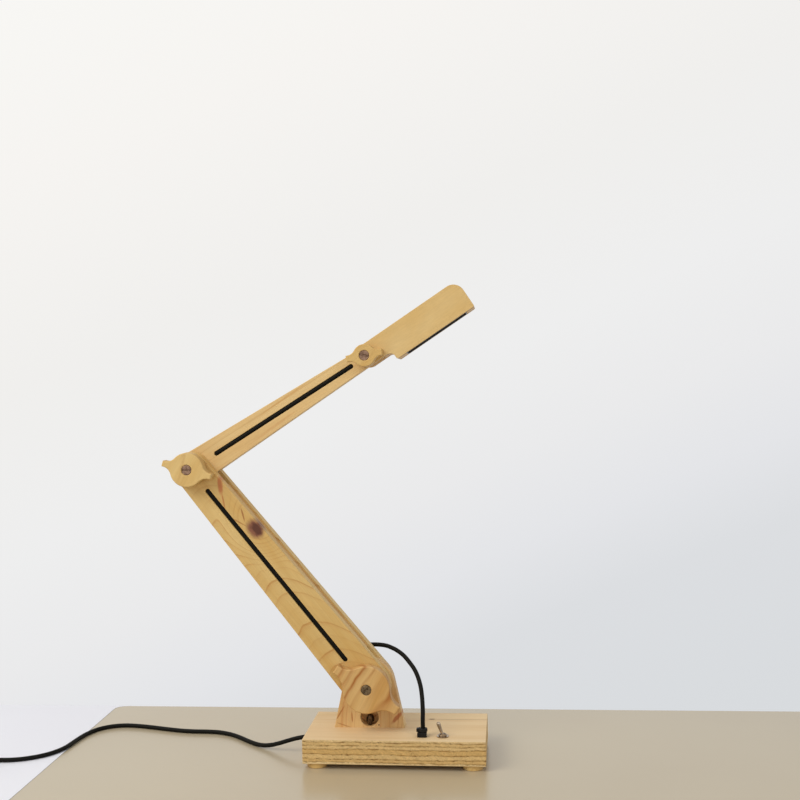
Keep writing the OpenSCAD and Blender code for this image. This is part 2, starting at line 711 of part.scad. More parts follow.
// Wires: two from the power lead and two from the lamp lead, and one from the block to the switch
module thin_wires() {
    in_hole = block_size[0] / 2 - 1;
    high = block_mid[2];
    lamp_y = block_mid[1] + block_hole_y;
    feed_y = block_mid[1] - block_hole_y;
    feed_x = toggle_x - switch_w / 3;
    color("red") {
        for (y = [-1, 1]) tube([power_sheath_end + [0, y, 0], power_sheath_end + [2, y, 0],
            power_sheath_end + [5, y * block_hole_y, 0], block_mid + [-in_hole, y * block_hole_y, 0]],
            wire_d, 6, [1, 0, 0], [1, 0, 0]);
        tube([lamp_sheath_end + [0, 1, 0], lamp_sheath_end + [-2, 1, 0],
            lamp_sheath_end + [-5, block_hole_y, 0], [block_mid[0] + in_hole, lamp_y, high]],
            wire_d, 6, [-1, 0, 0], [-1, 0, 0]);
        tube([lamp_sheath_end + [0, -1, 0], lamp_sheath_end + [-3, -1.6, -0.6],
            lamp_sheath_end + [-3.4, -4.4, -2.4], [gland_x - 8, toggle_y, wire_z],
            [feed_x - 3, toggle_y, wire_z], [feed_x, toggle_y, wire_z + 0.8],
            [feed_x, toggle_y, terminal_z]], wire_d, 6, [-1, 0, 0], [0, 0, 1]);
        tube([[block_mid[0] + in_hole, feed_y, high], [block_mid[0] + in_hole + 4, feed_y, high],
            [lamp_sheath_end[0] - 4, feed_y - 3, wire_z + 1], [lamp_sheath_end[0] - 1, feed_y - 8, wire_z],
            [gland_x, feed_y - 10, wire_z], [toggle_x - 3, toggle_y - 4, wire_z],
            [toggle_x, toggle_y - 1, wire_z + 0.8], [toggle_x, toggle_y, terminal_z]],
            wire_d, 6, [1, 0, 0], [0, 0, 1]);
    }
}

module cord_stop_tie() {
    color("black") translate([-pocket_x, 0, exit_z]) rotate([0, 90, 0]) difference() {
        union() {
            cylinder(h = stop_tie_t, d = lead_d + 2 * tie_band_t);
            translate([-lead_d / 2 - tie_head[0], -tie_head[1] / 2, 0]) cube(tie_head);
        }
        translate([0, 0, -eps]) cylinder(h = tie_head[2] + 2 * eps, r = lead_d / 2 + pin_play);
    }
}

// ---------- Post ----------

post_top_r = post_w / 2 * cos(post_lean) - pivot_h * sin(post_lean);
post_outline = concat([[-post_w / 2, -pivot_h], [post_w / 2, -pivot_h]],
    arc([0, 0], post_top_r, post_lean, 180 - post_lean, 24));

module post() {
    color("burlywood") difference() {
        at_post() board(-core_t / 2, core_t / 2) polygon(post_outline);
        at_post() bar_y(screw_d + 2 * pin_play, -core_t, core_t);
        // blind hole from the front, in which the cap nut is reached
        translate([post_x, 0, top_z + cross_hole_h]) bar_y(cross_hole_d, -core_t, core_t / 2 - cross_hole_back);
        translate([post_x, 0, top_z - eps]) cylinder(h = cross_hole_h, r = bolt_d / 2 + pin_play);
    }
}

// ---------- Lower arm: two boards with a spacer between them ----------

lower_outline = taper(lower_len, lower_post_r, lower_elbow_r);
groove_foot_x = lower_groove_foot;
groove_top_x = lower_len - lower_groove_top;
function lower_half(x) = lower_post_r + (lower_elbow_r - lower_post_r) * x / lower_len;

module lower_bores(y0, y1) {
    for (x = [0, lower_len]) translate([x, 0, 0]) bar_y(screw_d + 2 * pin_play, y0, y1);
    for (x = [groove_foot_x, groove_top_x]) translate([x, 0, 0]) bar_y(lead_hole_d, y0, y1);
}

module lower_arm_front() {
    color("burlywood") at_lower_arm() difference() {
        board(-outer_y, -core_gap) polygon(lower_outline);
        lower_bores(-outer_y - eps, -core_gap + eps);
        board(-outer_y - eps, -outer_y + groove_deep) slot(groove_foot_x, groove_top_x, groove_w);
    }
}

module lower_arm_back() {
    color("burlywood") at_lower_arm() difference() {
        board(core_gap, outer_y) polygon(lower_outline);
        lower_bores(core_gap - eps, outer_y + eps);
        for (x = [0, lower_len]) translate([x, 0, 0])
            nut_pocket();
    }
}

// Six-sided pocket for a clamp nut in the back of an outer board
module nut_pocket() {
    translate([0, outer_y + eps, 0]) rotate([90, 30, 0])
        cylinder(h = nut_t + nut_seat + eps, d = (nut_af + 2 * fit) / cos(30), $fn = 6);
}

module lower_arm_spacer() {
    x0 = spacer_from_post;
    x1 = lower_len - spacer_from_elbow;
    z0 = lower_half(x0) - spacer_inset;
    z1 = lower_half(x1) - spacer_inset;
    color("peru") at_lower_arm() difference() {
        board(-core_gap, core_gap) polygon([[x0, -z0], [x1, -z1], [x1, z1], [x0, z0]]);
        translate([groove_foot_x, 0, 0]) bar_y(lead_hole_d, -core_gap - eps, core_gap + eps);
    }
}

module clamp_nut() {
    nut_y(nut_af, screw_d + 2 * pin_play, outer_y - nut_seat - nut_t, outer_y - nut_seat);
}
module post_nut() { color("silver") at_lower_arm() clamp_nut(); }
module elbow_nut() { color("silver") at_lower_arm() translate([lower_len, 0, 0]) clamp_nut(); }

module lower_arm_lead() {
    end_y = outer_y + lead_end;
    color("black") at_lower_arm() bent_rod([
        [groove_foot_x, end_y, 0], [groove_foot_x, lower_lead_y, 0],
        [groove_top_x, lower_lead_y, 0], [groove_top_x, end_y, 0]
    ], lead_d);
}

// ---------- Upper arm ----------

upper_outline = taper(upper_len, upper_elbow_r, upper_head_r);
groove_root_x = upper_groove_root;
groove_tip_x = upper_len - upper_groove_tip;

module upper_arm() {
    color("burlywood") at_upper_arm() difference() {
        board(-core_t / 2, core_t / 2) polygon(upper_outline);
        for (x = [0, upper_len]) translate([x, 0, 0]) bar_y(screw_d + 2 * pin_play, -core_t, core_t);
        for (x = [groove_root_x, groove_tip_x]) translate([x, 0, 0]) bar_y(lead_hole_d, -core_t, core_t);
        board(-core_t / 2 - eps, -core_t / 2 + groove_deep) slot(groove_root_x, groove_tip_x, groove_w);
    }
}

module upper_arm_lead() {
    end_y = core_t / 2 + lead_end;
    color("black") at_upper_arm() bent_rod([
        [groove_root_x, end_y, 0], [groove_root_x, upper_lead_y, 0],
        [groove_tip_x, upper_lead_y, 0], [groove_tip_x, end_y, 0]
    ], lead_d);
}

// ---------- Head: two boards with a core between them, and the lamp tray below ----------

head_edge_r = 1.5;
head_outline = concat(
    arc([0, 0], neck_r, 90, 270, 24),
    arc([chin_x - chin_r, -neck_r - chin_r], chin_r, 90, 0),
    arc([chin_x + head_edge_r, -head_drop + head_edge_r], head_edge_r, 180, 270, 4),
    arc([head_len - head_edge_r, -head_drop + head_edge_r], head_edge_r, 270, 360, 4),
    arc([head_len - tip_r, neck_r - tip_r], tip_r, 0, 90)
);
tray_z = -head_drop; // the tray's mouth is level with the underside

module tray_recess() {
    translate([tray_x - fit, -tray_w / 2 - fit, tray_z - eps])
        cube([tray_len + 2 * fit, tray_w + 2 * fit, tray_h + fit + eps]);
}

head_lead_route = [
    [head_hole_x, outer_y + lead_end, 0], [head_hole_x, 0, 0],
    [tray_x + 10, 0, tray_z + tray_h + 4], [tray_x + 10, 0, tray_z + tray_h]
];

module head_board(y0, y1) {
    difference() {
        board(y0, y1) polygon(head_outline);
        bar_y(screw_d + 2 * pin_play, y0 - eps, y1 + eps);
        tray_recess();
    }
}

module head_front() { color("navajowhite") at_head() head_board(-outer_y, -core_gap); }

module head_back() {
    color("navajowhite") at_head() difference() {
        head_board(core_gap, outer_y);
        nut_pocket();
        translate([head_hole_x, 0, 0]) bar_y(lead_hole_d, core_gap - eps, outer_y + eps);
    }
}

module head_core() {
    color("burlywood") at_head() difference() {
        board(-core_gap, core_gap) intersection() {
            polygon(head_outline);
            translate([head_core_x, -2 * head_drop]) square([head_len, 4 * head_drop]);
        }
        tray_recess();
        translate([head_hole_x, 0, 0]) bar_y(lead_hole_d, -lead_hole_d / 2, core_gap + eps);
        rod(head_lead_route[1], head_lead_route[2], lead_hole_d);
        rod(head_lead_route[2], head_lead_route[3] - [0, 0, 1], lead_hole_d);
        translate(head_lead_route[2]) sphere(d = lead_hole_d + 0.1);
    }
}

module head_nut() { color("silver") at_head() clamp_nut(); }
module head_lead() { color("black") at_head() bent_rod(head_lead_route, lead_d); }

module lamp_tray() {
    color("black") at_head() difference() {
        translate([tray_x, -tray_w / 2, tray_z]) cube([tray_len, tray_w, tray_h]);
        translate([tray_x + tray_wall, -tray_w / 2 + tray_wall, tray_z - eps])
            cube([tray_len - 2 * tray_wall, tray_w - 2 * tray_wall, tray_h - tray_wall + eps]);
    }
}

led_top = tray_z + tray_h - tray_wall;
led_board_len = tray_len - 2 * (tray_wall + led_board_gap);
led_board_w = tray_w - 2 * (tray_wall + led_side_gap);
module led_board() {
    color("white") at_head() translate([tray_x + tray_wall + led_board_gap, -led_board_w / 2, led_top - led_board_t])
        cube([led_board_len, led_board_w, led_board_t]);
}

module led_chips() {
    step = led_board_len / led_count;
    color("khaki") at_head() for (i = [0 : led_count - 1])
        translate([tray_x + tray_wall + led_board_gap + (i + 0.5) * step - led_side / 2, -led_side / 2,
            led_top - led_board_t - led_t])
            cube([led_side, led_side, led_t]);
}

module lens() {
    color("whitesmoke") at_head() translate([tray_x + tray_wall + 0.05,
        -tray_w / 2 + tray_wall + 0.05, tray_z + lens_inset])
        cube([tray_len - 2 * tray_wall - 0.1, tray_w - 2 * tray_wall - 0.1, lens_t]);
}

// ---------- Wing knobs and their screws ----------

module wing_knob(outline) {
    difference() {
        board(-knob_face, -knob_y) polygon(outline);
        bar_y(screw_d + 2 * pin_play, -knob_face - eps, -knob_y + eps);
        bar_y(screw_head_d + 2 * fit, -knob_face - eps, -knob_face + head_seat + screw_head_h);
    }
}
module clamp_screw() {
    translate([0, -knob_face + head_seat + screw_head_h, 0])
        slotted_screw(screw_d, screw_len, screw_head_d, screw_head_h);
}

post_wing = wing(post_knob_r, post_knob_reach, post_ear);
elbow_wing = wing(elbow_knob_r, elbow_knob_reach, elbow_ear);
head_wing = wing(head_knob_r, head_knob_reach, head_ear);

module post_knob() { color("goldenrod") at_post() rotate([0, post_knob_turn, 0]) wing_knob(post_wing); }
module elbow_knob() { color("goldenrod") at_elbow() rotate([0, elbow_knob_turn, 0]) wing_knob(elbow_wing); }
module head_knob() {
    color("goldenrod") at_head_pivot() rotate([0, head_knob_turn, 0]) wing_knob(head_wing);
}
module post_screw() { color("silver") at_post() rotate([0, post_knob_turn - 77, 0]) clamp_screw(); }
module elbow_screw() { color("silver") at_elbow() clamp_screw(); }
module head_screw() { color("silver") at_head_pivot() rotate([0, 12, 0]) clamp_screw(); }

// ---------- Loops of the lamp lead between the boards ----------

module base_loop_lower() {
    color("black") tube(base_loop_lower_route, lead_d, first = [0, 0, 1], last = unit(loop_heading));
}
module base_loop_upper() {
    color("black") tube(base_loop_upper_route, lead_d, first = unit(loop_heading), last = [0, -1, 0]);
}
module elbow_loop() {
    color("black") tube(elbow_loop_route, lead_d, first = [0, 1, 0], last = [0, -1, 0]);
}
module head_loop() {
    color("black") tube(head_loop_route, lead_d, first = [0, 1, 0], last = [0, -1, 0]);
}

// ---------- Power cord, coil and plug ----------

// The coil winds in on the table, climbs over the half turn where it reverses, and winds out again
coil_steps = 24;
coil_count = 2 * coil_turns * coil_steps;
function coil_point(i) =
    let (
        turn = i / coil_steps,
        back = turn - coil_turns,
        r = coil_in_r + coil_pitch * abs(back),
        up = min(max((back + 0.25) / 0.5, 0), 1),
        a = 90 + 360 * turn
    )
    [coil_mid[0] + r * cos(a), coil_mid[1] + r * sin(a), coil_z + coil_pitch * up];
coil_points = concat([coil_start], [for (i = [0 : coil_count]) coil_point(i)], [coil_end]);
coil_gap = min([for (i = [0 : coil_count]) for (j = [i + coil_steps / 2 : 1 : coil_count])
    norm(coil_point(i) - coil_point(j)) - lead_d]);
echo(coil_least_gap = coil_gap);
function route_length(p) = len(p) < 2 ? 0
    : norm(p[1] - p[0]) + route_length([for (i = [1 : len(p) - 1]) p[i]]);
echo(cord_length = route_length(cord_route) + route_length(coil_points) + route_length(cord_tail_route));

module cord_run() { color("black") tube(cord_route, lead_d, first = [-1, 0, 0], last = [-1, 0, 0]); }
module cord_coil() { color("black") tube(coil_points, lead_d, sides = 6, first = [-1, 0, 0], last = [-1, 0, 0]); }
module cord_tail() { color("black") tube(cord_tail_route, lead_d, first = [-1, 0, 0], last = [-1, 0, 0]); }

// A strap round the bundle of turns on the coil's left side
module coil_tie() {
    strap_w = 9;
    inside = [coil_in_r - lead_d / 2 - 0.6, coil_out_r + lead_d / 2 + 0.6];
    high = coil_z + coil_pitch + lead_d / 2 + 0.4;
    color("dimgray") translate([coil_mid[0], coil_mid[1] - strap_w / 2, 0]) difference() {
        translate([-inside[1] - strap_t, 0, 0])
            cube([inside[1] - inside[0] + 2 * strap_t, strap_w, high + strap_t]);
        translate([-inside[1], -eps, strap_t])
            cube([inside[1] - inside[0], strap_w + 2 * eps, high - strap_t]);
    }
}

plug_x = plug_tail[0];
shell_w = 12;
shell_t = 4.5;
shell_wall = 0.35;
module plug_body() {
    color("black") translate([plug_x - plug_body_len, coil_end[1], plug_z]) difference() {
        union() {
            translate([0, -plug_body_w / 2, -plug_body_t / 2])
                cube([plug_body_len - 4, plug_body_w, plug_body_t]);
            translate([plug_body_len - 5, 0, 0]) rotate([0, 90, 0]) cylinder(h = 5, d = lead_d + 2.4);
        }
        translate([-eps, -shell_w / 2, -shell_t / 2]) cube([6 + eps, shell_w, shell_t]);
    }
}
module plug_shell() {
    color("silver") translate([plug_x - plug_body_len - plug_shell_len, coil_end[1], plug_z])
        difference() {
            translate([0, -shell_w / 2, -shell_t / 2]) cube([plug_shell_len + 6, shell_w, shell_t]);
            translate([-eps, -shell_w / 2 + shell_wall, -shell_t / 2 + shell_wall])
                cube([plug_shell_len + 5 + eps, shell_w - 2 * shell_wall, shell_t - 2 * shell_wall]);
            for (y = [-1, 1]) translate([4.5, y * 2.8 - 1, -shell_t]) cube([2.4, 2, 2 * shell_t]);
        }
}
module plug_tongue() {
    color("white") translate([plug_x - plug_body_len - plug_shell_len + 1,
        coil_end[1] - shell_w / 2 + shell_wall, plug_z + shell_wall / 2])
        cube([plug_shell_len + 4, shell_w - 2 * shell_wall, shell_t / 2 - 1.5 * shell_wall]);
}

// ---------- What is drawn ----------

base_block();
base_cover();
cover_screws();
foot_front_left();
foot_front_right();
foot_back_left();
foot_back_right();
post_bolt();
post_bolt_washer();
post_cap_nut();
switch_body();
switch_bushing();
switch_terminals();
switch_washer();
switch_nut();
switch_lever();
lead_gland();
gland_tie();
terminal_block();
terminal_screws();
power_lead_inside();
lamp_lead_inside();
thin_wires();
cord_stop_tie();
post();
base_loop_lower();
base_loop_upper();
lower_arm_front();
lower_arm_back();
lower_arm_spacer();
post_nut();
elbow_nut();
lower_arm_lead();
elbow_loop();
post_knob();
post_screw();
elbow_knob();
elbow_screw();
upper_arm();
upper_arm_lead();
head_loop();
head_front();
head_back();
head_core();
head_nut();
head_lead();
lamp_tray();
led_board();
led_chips();
lens();
head_knob();
head_screw();
cord_run();
cord_coil();
cord_tail();
coil_tie();
plug_body();
plug_shell();
plug_tongue();
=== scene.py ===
# %% [markdown]
# # Folding desk lamp of pine and plywood boards
# The lamp is made of flat sawn boards, clamped at three pivots by wing knobs, with a black lead
# let into grooves in the arms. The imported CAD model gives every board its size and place, so this
# script only adds what a CAD solid lacks: broken edges, wood grain, worn metal, round leads and
# the light of a small studio. Everything is in metres and in the CAD model's own frame.

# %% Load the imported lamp
import json
import math

import bmesh
import bpy
from mathutils import Matrix, Vector
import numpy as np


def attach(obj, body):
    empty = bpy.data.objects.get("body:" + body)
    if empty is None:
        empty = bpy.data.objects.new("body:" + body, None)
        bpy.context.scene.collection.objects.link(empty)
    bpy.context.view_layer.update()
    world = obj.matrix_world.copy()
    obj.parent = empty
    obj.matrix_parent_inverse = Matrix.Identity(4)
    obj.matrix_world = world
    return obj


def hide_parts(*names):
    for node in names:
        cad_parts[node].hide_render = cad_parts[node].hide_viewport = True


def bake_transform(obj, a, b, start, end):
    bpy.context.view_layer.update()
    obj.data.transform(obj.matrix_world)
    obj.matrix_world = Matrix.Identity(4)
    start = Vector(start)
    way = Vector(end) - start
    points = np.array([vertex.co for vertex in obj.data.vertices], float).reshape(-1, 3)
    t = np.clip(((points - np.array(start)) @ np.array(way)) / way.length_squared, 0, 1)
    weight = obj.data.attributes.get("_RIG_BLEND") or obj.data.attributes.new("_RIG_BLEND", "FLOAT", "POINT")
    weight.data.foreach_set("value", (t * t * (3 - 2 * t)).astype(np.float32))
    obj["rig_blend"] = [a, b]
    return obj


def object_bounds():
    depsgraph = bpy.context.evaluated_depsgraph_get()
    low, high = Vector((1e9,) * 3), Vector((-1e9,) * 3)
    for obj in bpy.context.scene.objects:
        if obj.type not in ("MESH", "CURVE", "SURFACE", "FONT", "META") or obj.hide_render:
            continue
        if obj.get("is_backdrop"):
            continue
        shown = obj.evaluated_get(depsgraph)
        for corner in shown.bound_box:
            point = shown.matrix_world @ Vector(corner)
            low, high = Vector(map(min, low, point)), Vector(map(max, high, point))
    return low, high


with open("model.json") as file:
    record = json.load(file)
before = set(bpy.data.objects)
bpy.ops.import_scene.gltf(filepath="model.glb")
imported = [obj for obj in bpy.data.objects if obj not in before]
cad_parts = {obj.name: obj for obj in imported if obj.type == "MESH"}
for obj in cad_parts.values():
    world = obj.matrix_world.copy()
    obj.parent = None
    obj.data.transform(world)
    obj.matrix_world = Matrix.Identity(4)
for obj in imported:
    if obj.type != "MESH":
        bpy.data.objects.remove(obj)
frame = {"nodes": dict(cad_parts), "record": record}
cad_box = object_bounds()
MM = 0.001
body_of = {node: body for body, nodes in frame["record"]["behaviour"]["bodies"].items()
           for node in nodes}

# %% [markdown]
# ## The photograph's camera
# The camera stands a little to the right of the lamp and 365 mm over the table, and looks almost
# level. Its place was found by fitting the corners of the base block, the pivots and the switch
# to their places in the photograph, so it is written here as three angles and a point.

# %% The photograph's camera
EYE = Vector((116.76, -1060.17, 364.87)) * MM
TURN, NOD, ROLL = (math.radians(a) for a in (-5.83, -0.24, -1.09))
FOCAL_PIXELS = 1050.44
PICTURE_PIXELS = 800


def camera_axes():
    """The camera's right, up and forward directions, from its turn, nod and roll."""
    level = Vector((math.sin(TURN), math.cos(TURN), 0))
    side = Vector((math.cos(TURN), -math.sin(TURN), 0))
    top = Vector((0, 0, 1))
    forward = level * math.cos(NOD) + top * math.sin(NOD)
    rise = top * math.cos(NOD) - level * math.sin(NOD)
    right = side * math.cos(ROLL) + rise * math.sin(ROLL)
    return right, rise * math.cos(ROLL) - side * math.sin(ROLL), forward


def new_object(name, data):
    """An object in the scene that shows some data: a mesh, a curve, a light or a camera."""
    made = bpy.data.objects.new(name, data)
    bpy.context.scene.collection.objects.link(made)
    return made


right, up, forward = camera_axes()
camera = new_object("camera", bpy.data.cameras.new("camera"))
camera.data.lens = camera.data.sensor_width * FOCAL_PIXELS / PICTURE_PIXELS
camera.matrix_world = Matrix.Translation(EYE) @ Matrix((right, up, -forward)).transposed().to_4x4()
bpy.context.scene.camera = camera
print("lens", round(camera.data.lens, 2), "mm")

# %% [markdown]
# ## Adding nodes
# Materials and Geometry Nodes are both trees of nodes. One small function adds a node, whatever
# its kind, sets it and links it. An input is a value, an sRGB hex colour, the socket that feeds
# it, or a node, which stands for its first output in use. Inputs are given in their order on the
# node, or by name or number. So Map Range takes a value, the range it has, and the range it
# gets. Blender counts light evenly, so a hex colour, as the eye knows it, is made linear.

# %% One function adds a node
def linear(hex_colour):
    """An sRGB hex colour as a linear RGBA tuple."""
    parts = [int(hex_colour[i:i + 2], 16) / 255 for i in (1, 3, 5)]
    return tuple(c / 12.92 if c <= 0.04045 else ((c + 0.055) / 1.055) ** 2.4 for c in parts) + (1,)


def add_node(tree, kind, inputs=(), stops=(), **settings):
    """Adds a node with its settings, its inputs, and a colour ramp's places and colours."""
    new = tree.nodes.new(kind)
    for name, value in settings.items():
        setattr(new, name, value)
    for key, value in (inputs.items() if isinstance(inputs, dict) else enumerate(inputs)):
        if isinstance(value, bpy.types.Node):
            value = next(out for out in value.outputs if out.enabled)
        if isinstance(value, bpy.types.NodeSocket):
            tree.links.new(value, new.inputs[key])
        else:
            new.inputs[key].default_value = linear(value) if isinstance(value, str) else value
    for i, (place, colour) in enumerate(stops):
        ramp_stops = new.color_ramp.elements
        stop = ramp_stops[i] if i < len(ramp_stops) else ramp_stops.new(place)
        stop.position, stop.color = place, linear(colour) if isinstance(colour, str) else colour
    return new


print("linear grey", [round(c, 3) for c in linear("#808080")[:3]])

# %% [markdown]
# A finish starts as an empty material with one Principled shader, which knows plastic, wood and
# metal alike. What is even over the surface is set on the shader's own sockets. What varies comes
# from clouds of noise, made into a colour by a ramp, into a dullness by a range, and into a
# relief by a bump.

# %% The start and the end of a finish
def new_finish(name, constants):
    """An empty material with one Principled shader, whose plain values are set on its sockets."""
    finish = bpy.data.materials.new(name)
    finish.use_nodes = True
    finish.node_tree.nodes.clear()
    tree = finish.node_tree
    shader = add_node(tree, "ShaderNodeBsdfPrincipled", constants)
    add_node(tree, "ShaderNodeOutputMaterial", {"Surface": shader})
    return finish, tree, shader


def dress(tree, shader, colour, roughness=None, normal=None):
    """Links the nodes that make a finish's colour, roughness and bump to its shader."""
    for source, socket in ((colour, "Base Color"), (roughness, "Roughness"), (normal, "Normal")):
        if source:
            output = next(out for out in source.outputs if out.enabled)
            tree.links.new(output, shader.inputs[socket])


print("a finish has a colour, a roughness and a bump")

# %% [markdown]
# ## The routes of the leads
# The power cord and the lamp lead are one kind of thin round PVC lead, 4.4 mm thick. The routes
# are the ones of the CAD model, in millimetres. A smooth curve through the points, rather than
# straight pieces between them, is what makes a lead look like a lead.

# %% A smooth route through points
LEAD_D, CURVE_STEPS = 4.4, 6


def smooth_route(points, first=None, last=None):
    """Points on a smooth curve through the given ones. first and last are the end headings."""
    p = [Vector(q) for q in points]
    start = p[0] - Vector(first).normalized() * (p[1] - p[0]).length if first else 2 * p[0] - p[1]
    end = p[-1] + Vector(last).normalized() * (p[-1] - p[-2]).length if last else 2 * p[-1] - p[-2]
    q, route = [start] + p + [end], []
    for i in range(1, len(q) - 2):
        a, b, c, d = q[i - 1:i + 3]
        for k in range(CURVE_STEPS):
            t = k / CURVE_STEPS
            route.append(0.5 * (2 * b + (c - a) * t + (2 * a - 5 * b + 4 * c - d) * t * t
                                + (3 * b - a - 3 * c + d) * t ** 3))
    return route + [p[-1]]


def length_of(route):
    """A route's length, in the unit of its points."""
    return sum((b - a).length for a, b in zip(route, route[1:]))


print("lead", LEAD_D, "mm thick")

# %% The lamp lead's four loops
pivot = Vector((-28, 0, 73))
elbow = Vector((-206.727, 0, 293.709))
head_pivot = Vector((-23.640, 0, 405.466))
gland_top = Vector((28.2, -31, 38.5))
loop_joint = pivot + Vector((24, 22, 29))
lower_foot = Vector((-50.341, 17.25, 100.589))
lower_top = Vector((-188.477, 17.25, 271.172))
upper_root = Vector((-181.547, 7, 309.079))
upper_tip = Vector((-40.284, 7, 395.306))
head_hole = Vector((-3.512, 17.25, 418.537))
loops = {
    "base_loop_lower": smooth_route(
        [gland_top, (28.1, -30.6, 45), (28.2, -28.8, 51.5), (27.8, -25.5, 58), (26.9, -19.8, 65),
         (25.1, -12.9, 73), (22, -5, 80), (18, 2, 86), (12, 9, 92), (5, 16, 97.5), loop_joint],
        first=(0, 0, 1), last=(-18, 9, 6)),
    "base_loop_upper": smooth_route(
        [loop_joint, (-13, 26, 104.5), (-23, 29, 105), (-33, 30, 104.5), (-42, 28.5, 103),
         (-48, 24.5, 101.5), (-50, 20.5, 100.7), lower_foot],
        first=(-18, 9, 6), last=(0, -1, 0)),
    "elbow_loop": smooth_route(
        [lower_top] + [elbow + Vector(v) for v in (
            (17.7, 22, -21.7), (13.7, 27, -18.2), (9.7, 30.5, -11.7), (7.7, 31, -3.2),
            (9.7, 29, 4.8), (14.2, 24, 10.8), (19.7, 17, 14.3), (23.7, 11, 15.3))] + [upper_root],
        first=(0, 1, 0), last=(0, -1, 0)),
    "head_loop": smooth_route(
        [upper_tip] + [head_pivot + Vector(v) for v in (
            (-16.2, 13, -10), (-13.4, 20, -7.7), (-8.4, 26, -4.7), (-0.4, 29, 0.3),
            (7.6, 28.5, 5.3), (14.6, 26, 9.8), (18.6, 22, 12.3))] + [head_hole],
        first=(0, 1, 0), last=(0, -1, 0)),
}
for name, route in loops.items():
    print(name, round(length_of(route), 1), "mm")

# %% [markdown]
# The power cord leaves the left end of the base, falls to the table and runs off in the loose
# curves of the photograph. The rest of its 1.5 m, which the photograph doesn't show, is wound
# into a flat coil of two layers: in towards the middle, up, and out again.

# %% The power cord's route
TABLE_Z = LEAD_D / 2
run = [(-90, 0, 17), (-97, 0, 16.6), (-106, 0.8, 14.6), (-115, 2.4, 11.6), (-124, 4.8, 8.2),
       (-133, 8, 5.2), (-142, 12.2, 3.2), (-151, 18, 2.4)]
run += [(x, y, TABLE_Z) for x, y in (
    (-160, 25.5), (-169, 34), (-179, 43), (-190, 50.5), (-203, 55.5), (-217, 57), (-231, 57.2),
    (-245, 59), (-259, 62.5), (-273, 66.5), (-287, 70.5), (-301, 73.5), (-314, 74.5),
    (-326, 71.5), (-336, 64.5), (-343, 54), (-347, 41), (-349, 27), (-350, 13), (-351.5, -1),
    (-356, -14), (-364, -25.5), (-375, -34), (-388, -39.5))]
run += [(-402, -42, 2.5), (-416, -42.6, 3.0), (-433.6, -43.25, 3.4)]
tail = [(-442.4, -43.25, 8.4), (-454, -43.25, 7.8), (-466, -43.25, 5.6), (-477, -43.25, 4.2),
        (-486, -43.25, 4)]
COIL_MIDDLE, COIL_Z, COIL_INNER = (-438, -75), 3.4, 14.25
COIL_TURNS, COIL_PITCH, CLIMB_TURNS, POINTS_PER_TURN = 3.5, 5, 0.5, 32


def coil_point(turn):
    """A point of the coil: it winds in for 3.5 turns, climbs one diameter and winds out again."""
    back = turn - COIL_TURNS
    radius = COIL_INNER + COIL_PITCH * abs(back)
    climb = min(max(back / CLIMB_TURNS + 0.5, 0), 1)
    angle = math.radians(90 + 360 * turn)
    return Vector((COIL_MIDDLE[0] + radius * math.cos(angle),
                   COIL_MIDDLE[1] + radius * math.sin(angle), COIL_Z + COIL_PITCH * climb))


coil = [coil_point(i / POINTS_PER_TURN)
        for i in range(int(2 * COIL_TURNS * POINTS_PER_TURN) + 1)]
power_route = smooth_route(run, first=(-1, 0, 0)) + coil + smooth_route(tail, last=(-1, 0, 0))
print("power cord", round(length_of(power_route)), "mm")

# %% [markdown]
# ## Tubes along a route
# A lead is one round section carried along a path. Geometry Nodes do this with Curve to Mesh: the
# route is a poly curve and the profile is a circle. Every tree ends by making its instances real
# and setting the material, so that its result is a whole mesh. The tree is built once, and each
# lead gives it its own route and number of sides.

# %% A tree that sweeps a lead along its route
sweep_tree = bpy.data.node_groups.new("lead_along_a_route", "GeometryNodeTree")
for title, kind in (("Geometry", "Geometry"), ("Radius", "Float"), ("Sides", "Int"),
                    ("Material", "Material")):
    sweep_tree.interface.new_socket(title, in_out="INPUT", socket_type="NodeSocket" + kind)
sweep_tree.interface.new_socket("Geometry", in_out="OUTPUT", socket_type="NodeSocketGeometry")
given = add_node(sweep_tree, "NodeGroupInput").outputs
circle = add_node(sweep_tree, "GeometryNodeCurvePrimitiveCircle",
                  {"Resolution": given["Sides"], "Radius": given["Radius"]})
swept = add_node(sweep_tree, "GeometryNodeCurveToMesh", {
    "Curve": given["Geometry"], "Profile Curve": circle, "Fill Caps": True})
smooth = add_node(sweep_tree, "GeometryNodeSetShadeSmooth", {0: swept})
real = add_node(sweep_tree, "GeometryNodeRealizeInstances", {0: smooth})
coloured = add_node(sweep_tree, "GeometryNodeSetMaterial", {
    "Geometry": real, "Material": given["Material"]})
add_node(sweep_tree, "NodeGroupOutput", {0: coloured})
print("nodes that sweep a lead", len(sweep_tree.nodes))

# %% [markdown]
# A modifier works on an object each time it is shown. Here its result is taken once, as a plain
# mesh, because a plain mesh is what the lamp's joints move and bend later on.

# %% A lead along a route
def worked_out(seed, name):
    """A new object with the mesh that the seed's modifiers make. The seed is removed."""
    depsgraph = bpy.context.evaluated_depsgraph_get()
    mesh = bpy.data.meshes.new_from_object(
        seed.evaluated_get(depsgraph), preserve_all_data_layers=True, depsgraph=depsgraph)
    bpy.data.objects.remove(seed)
    return new_object(name, mesh)


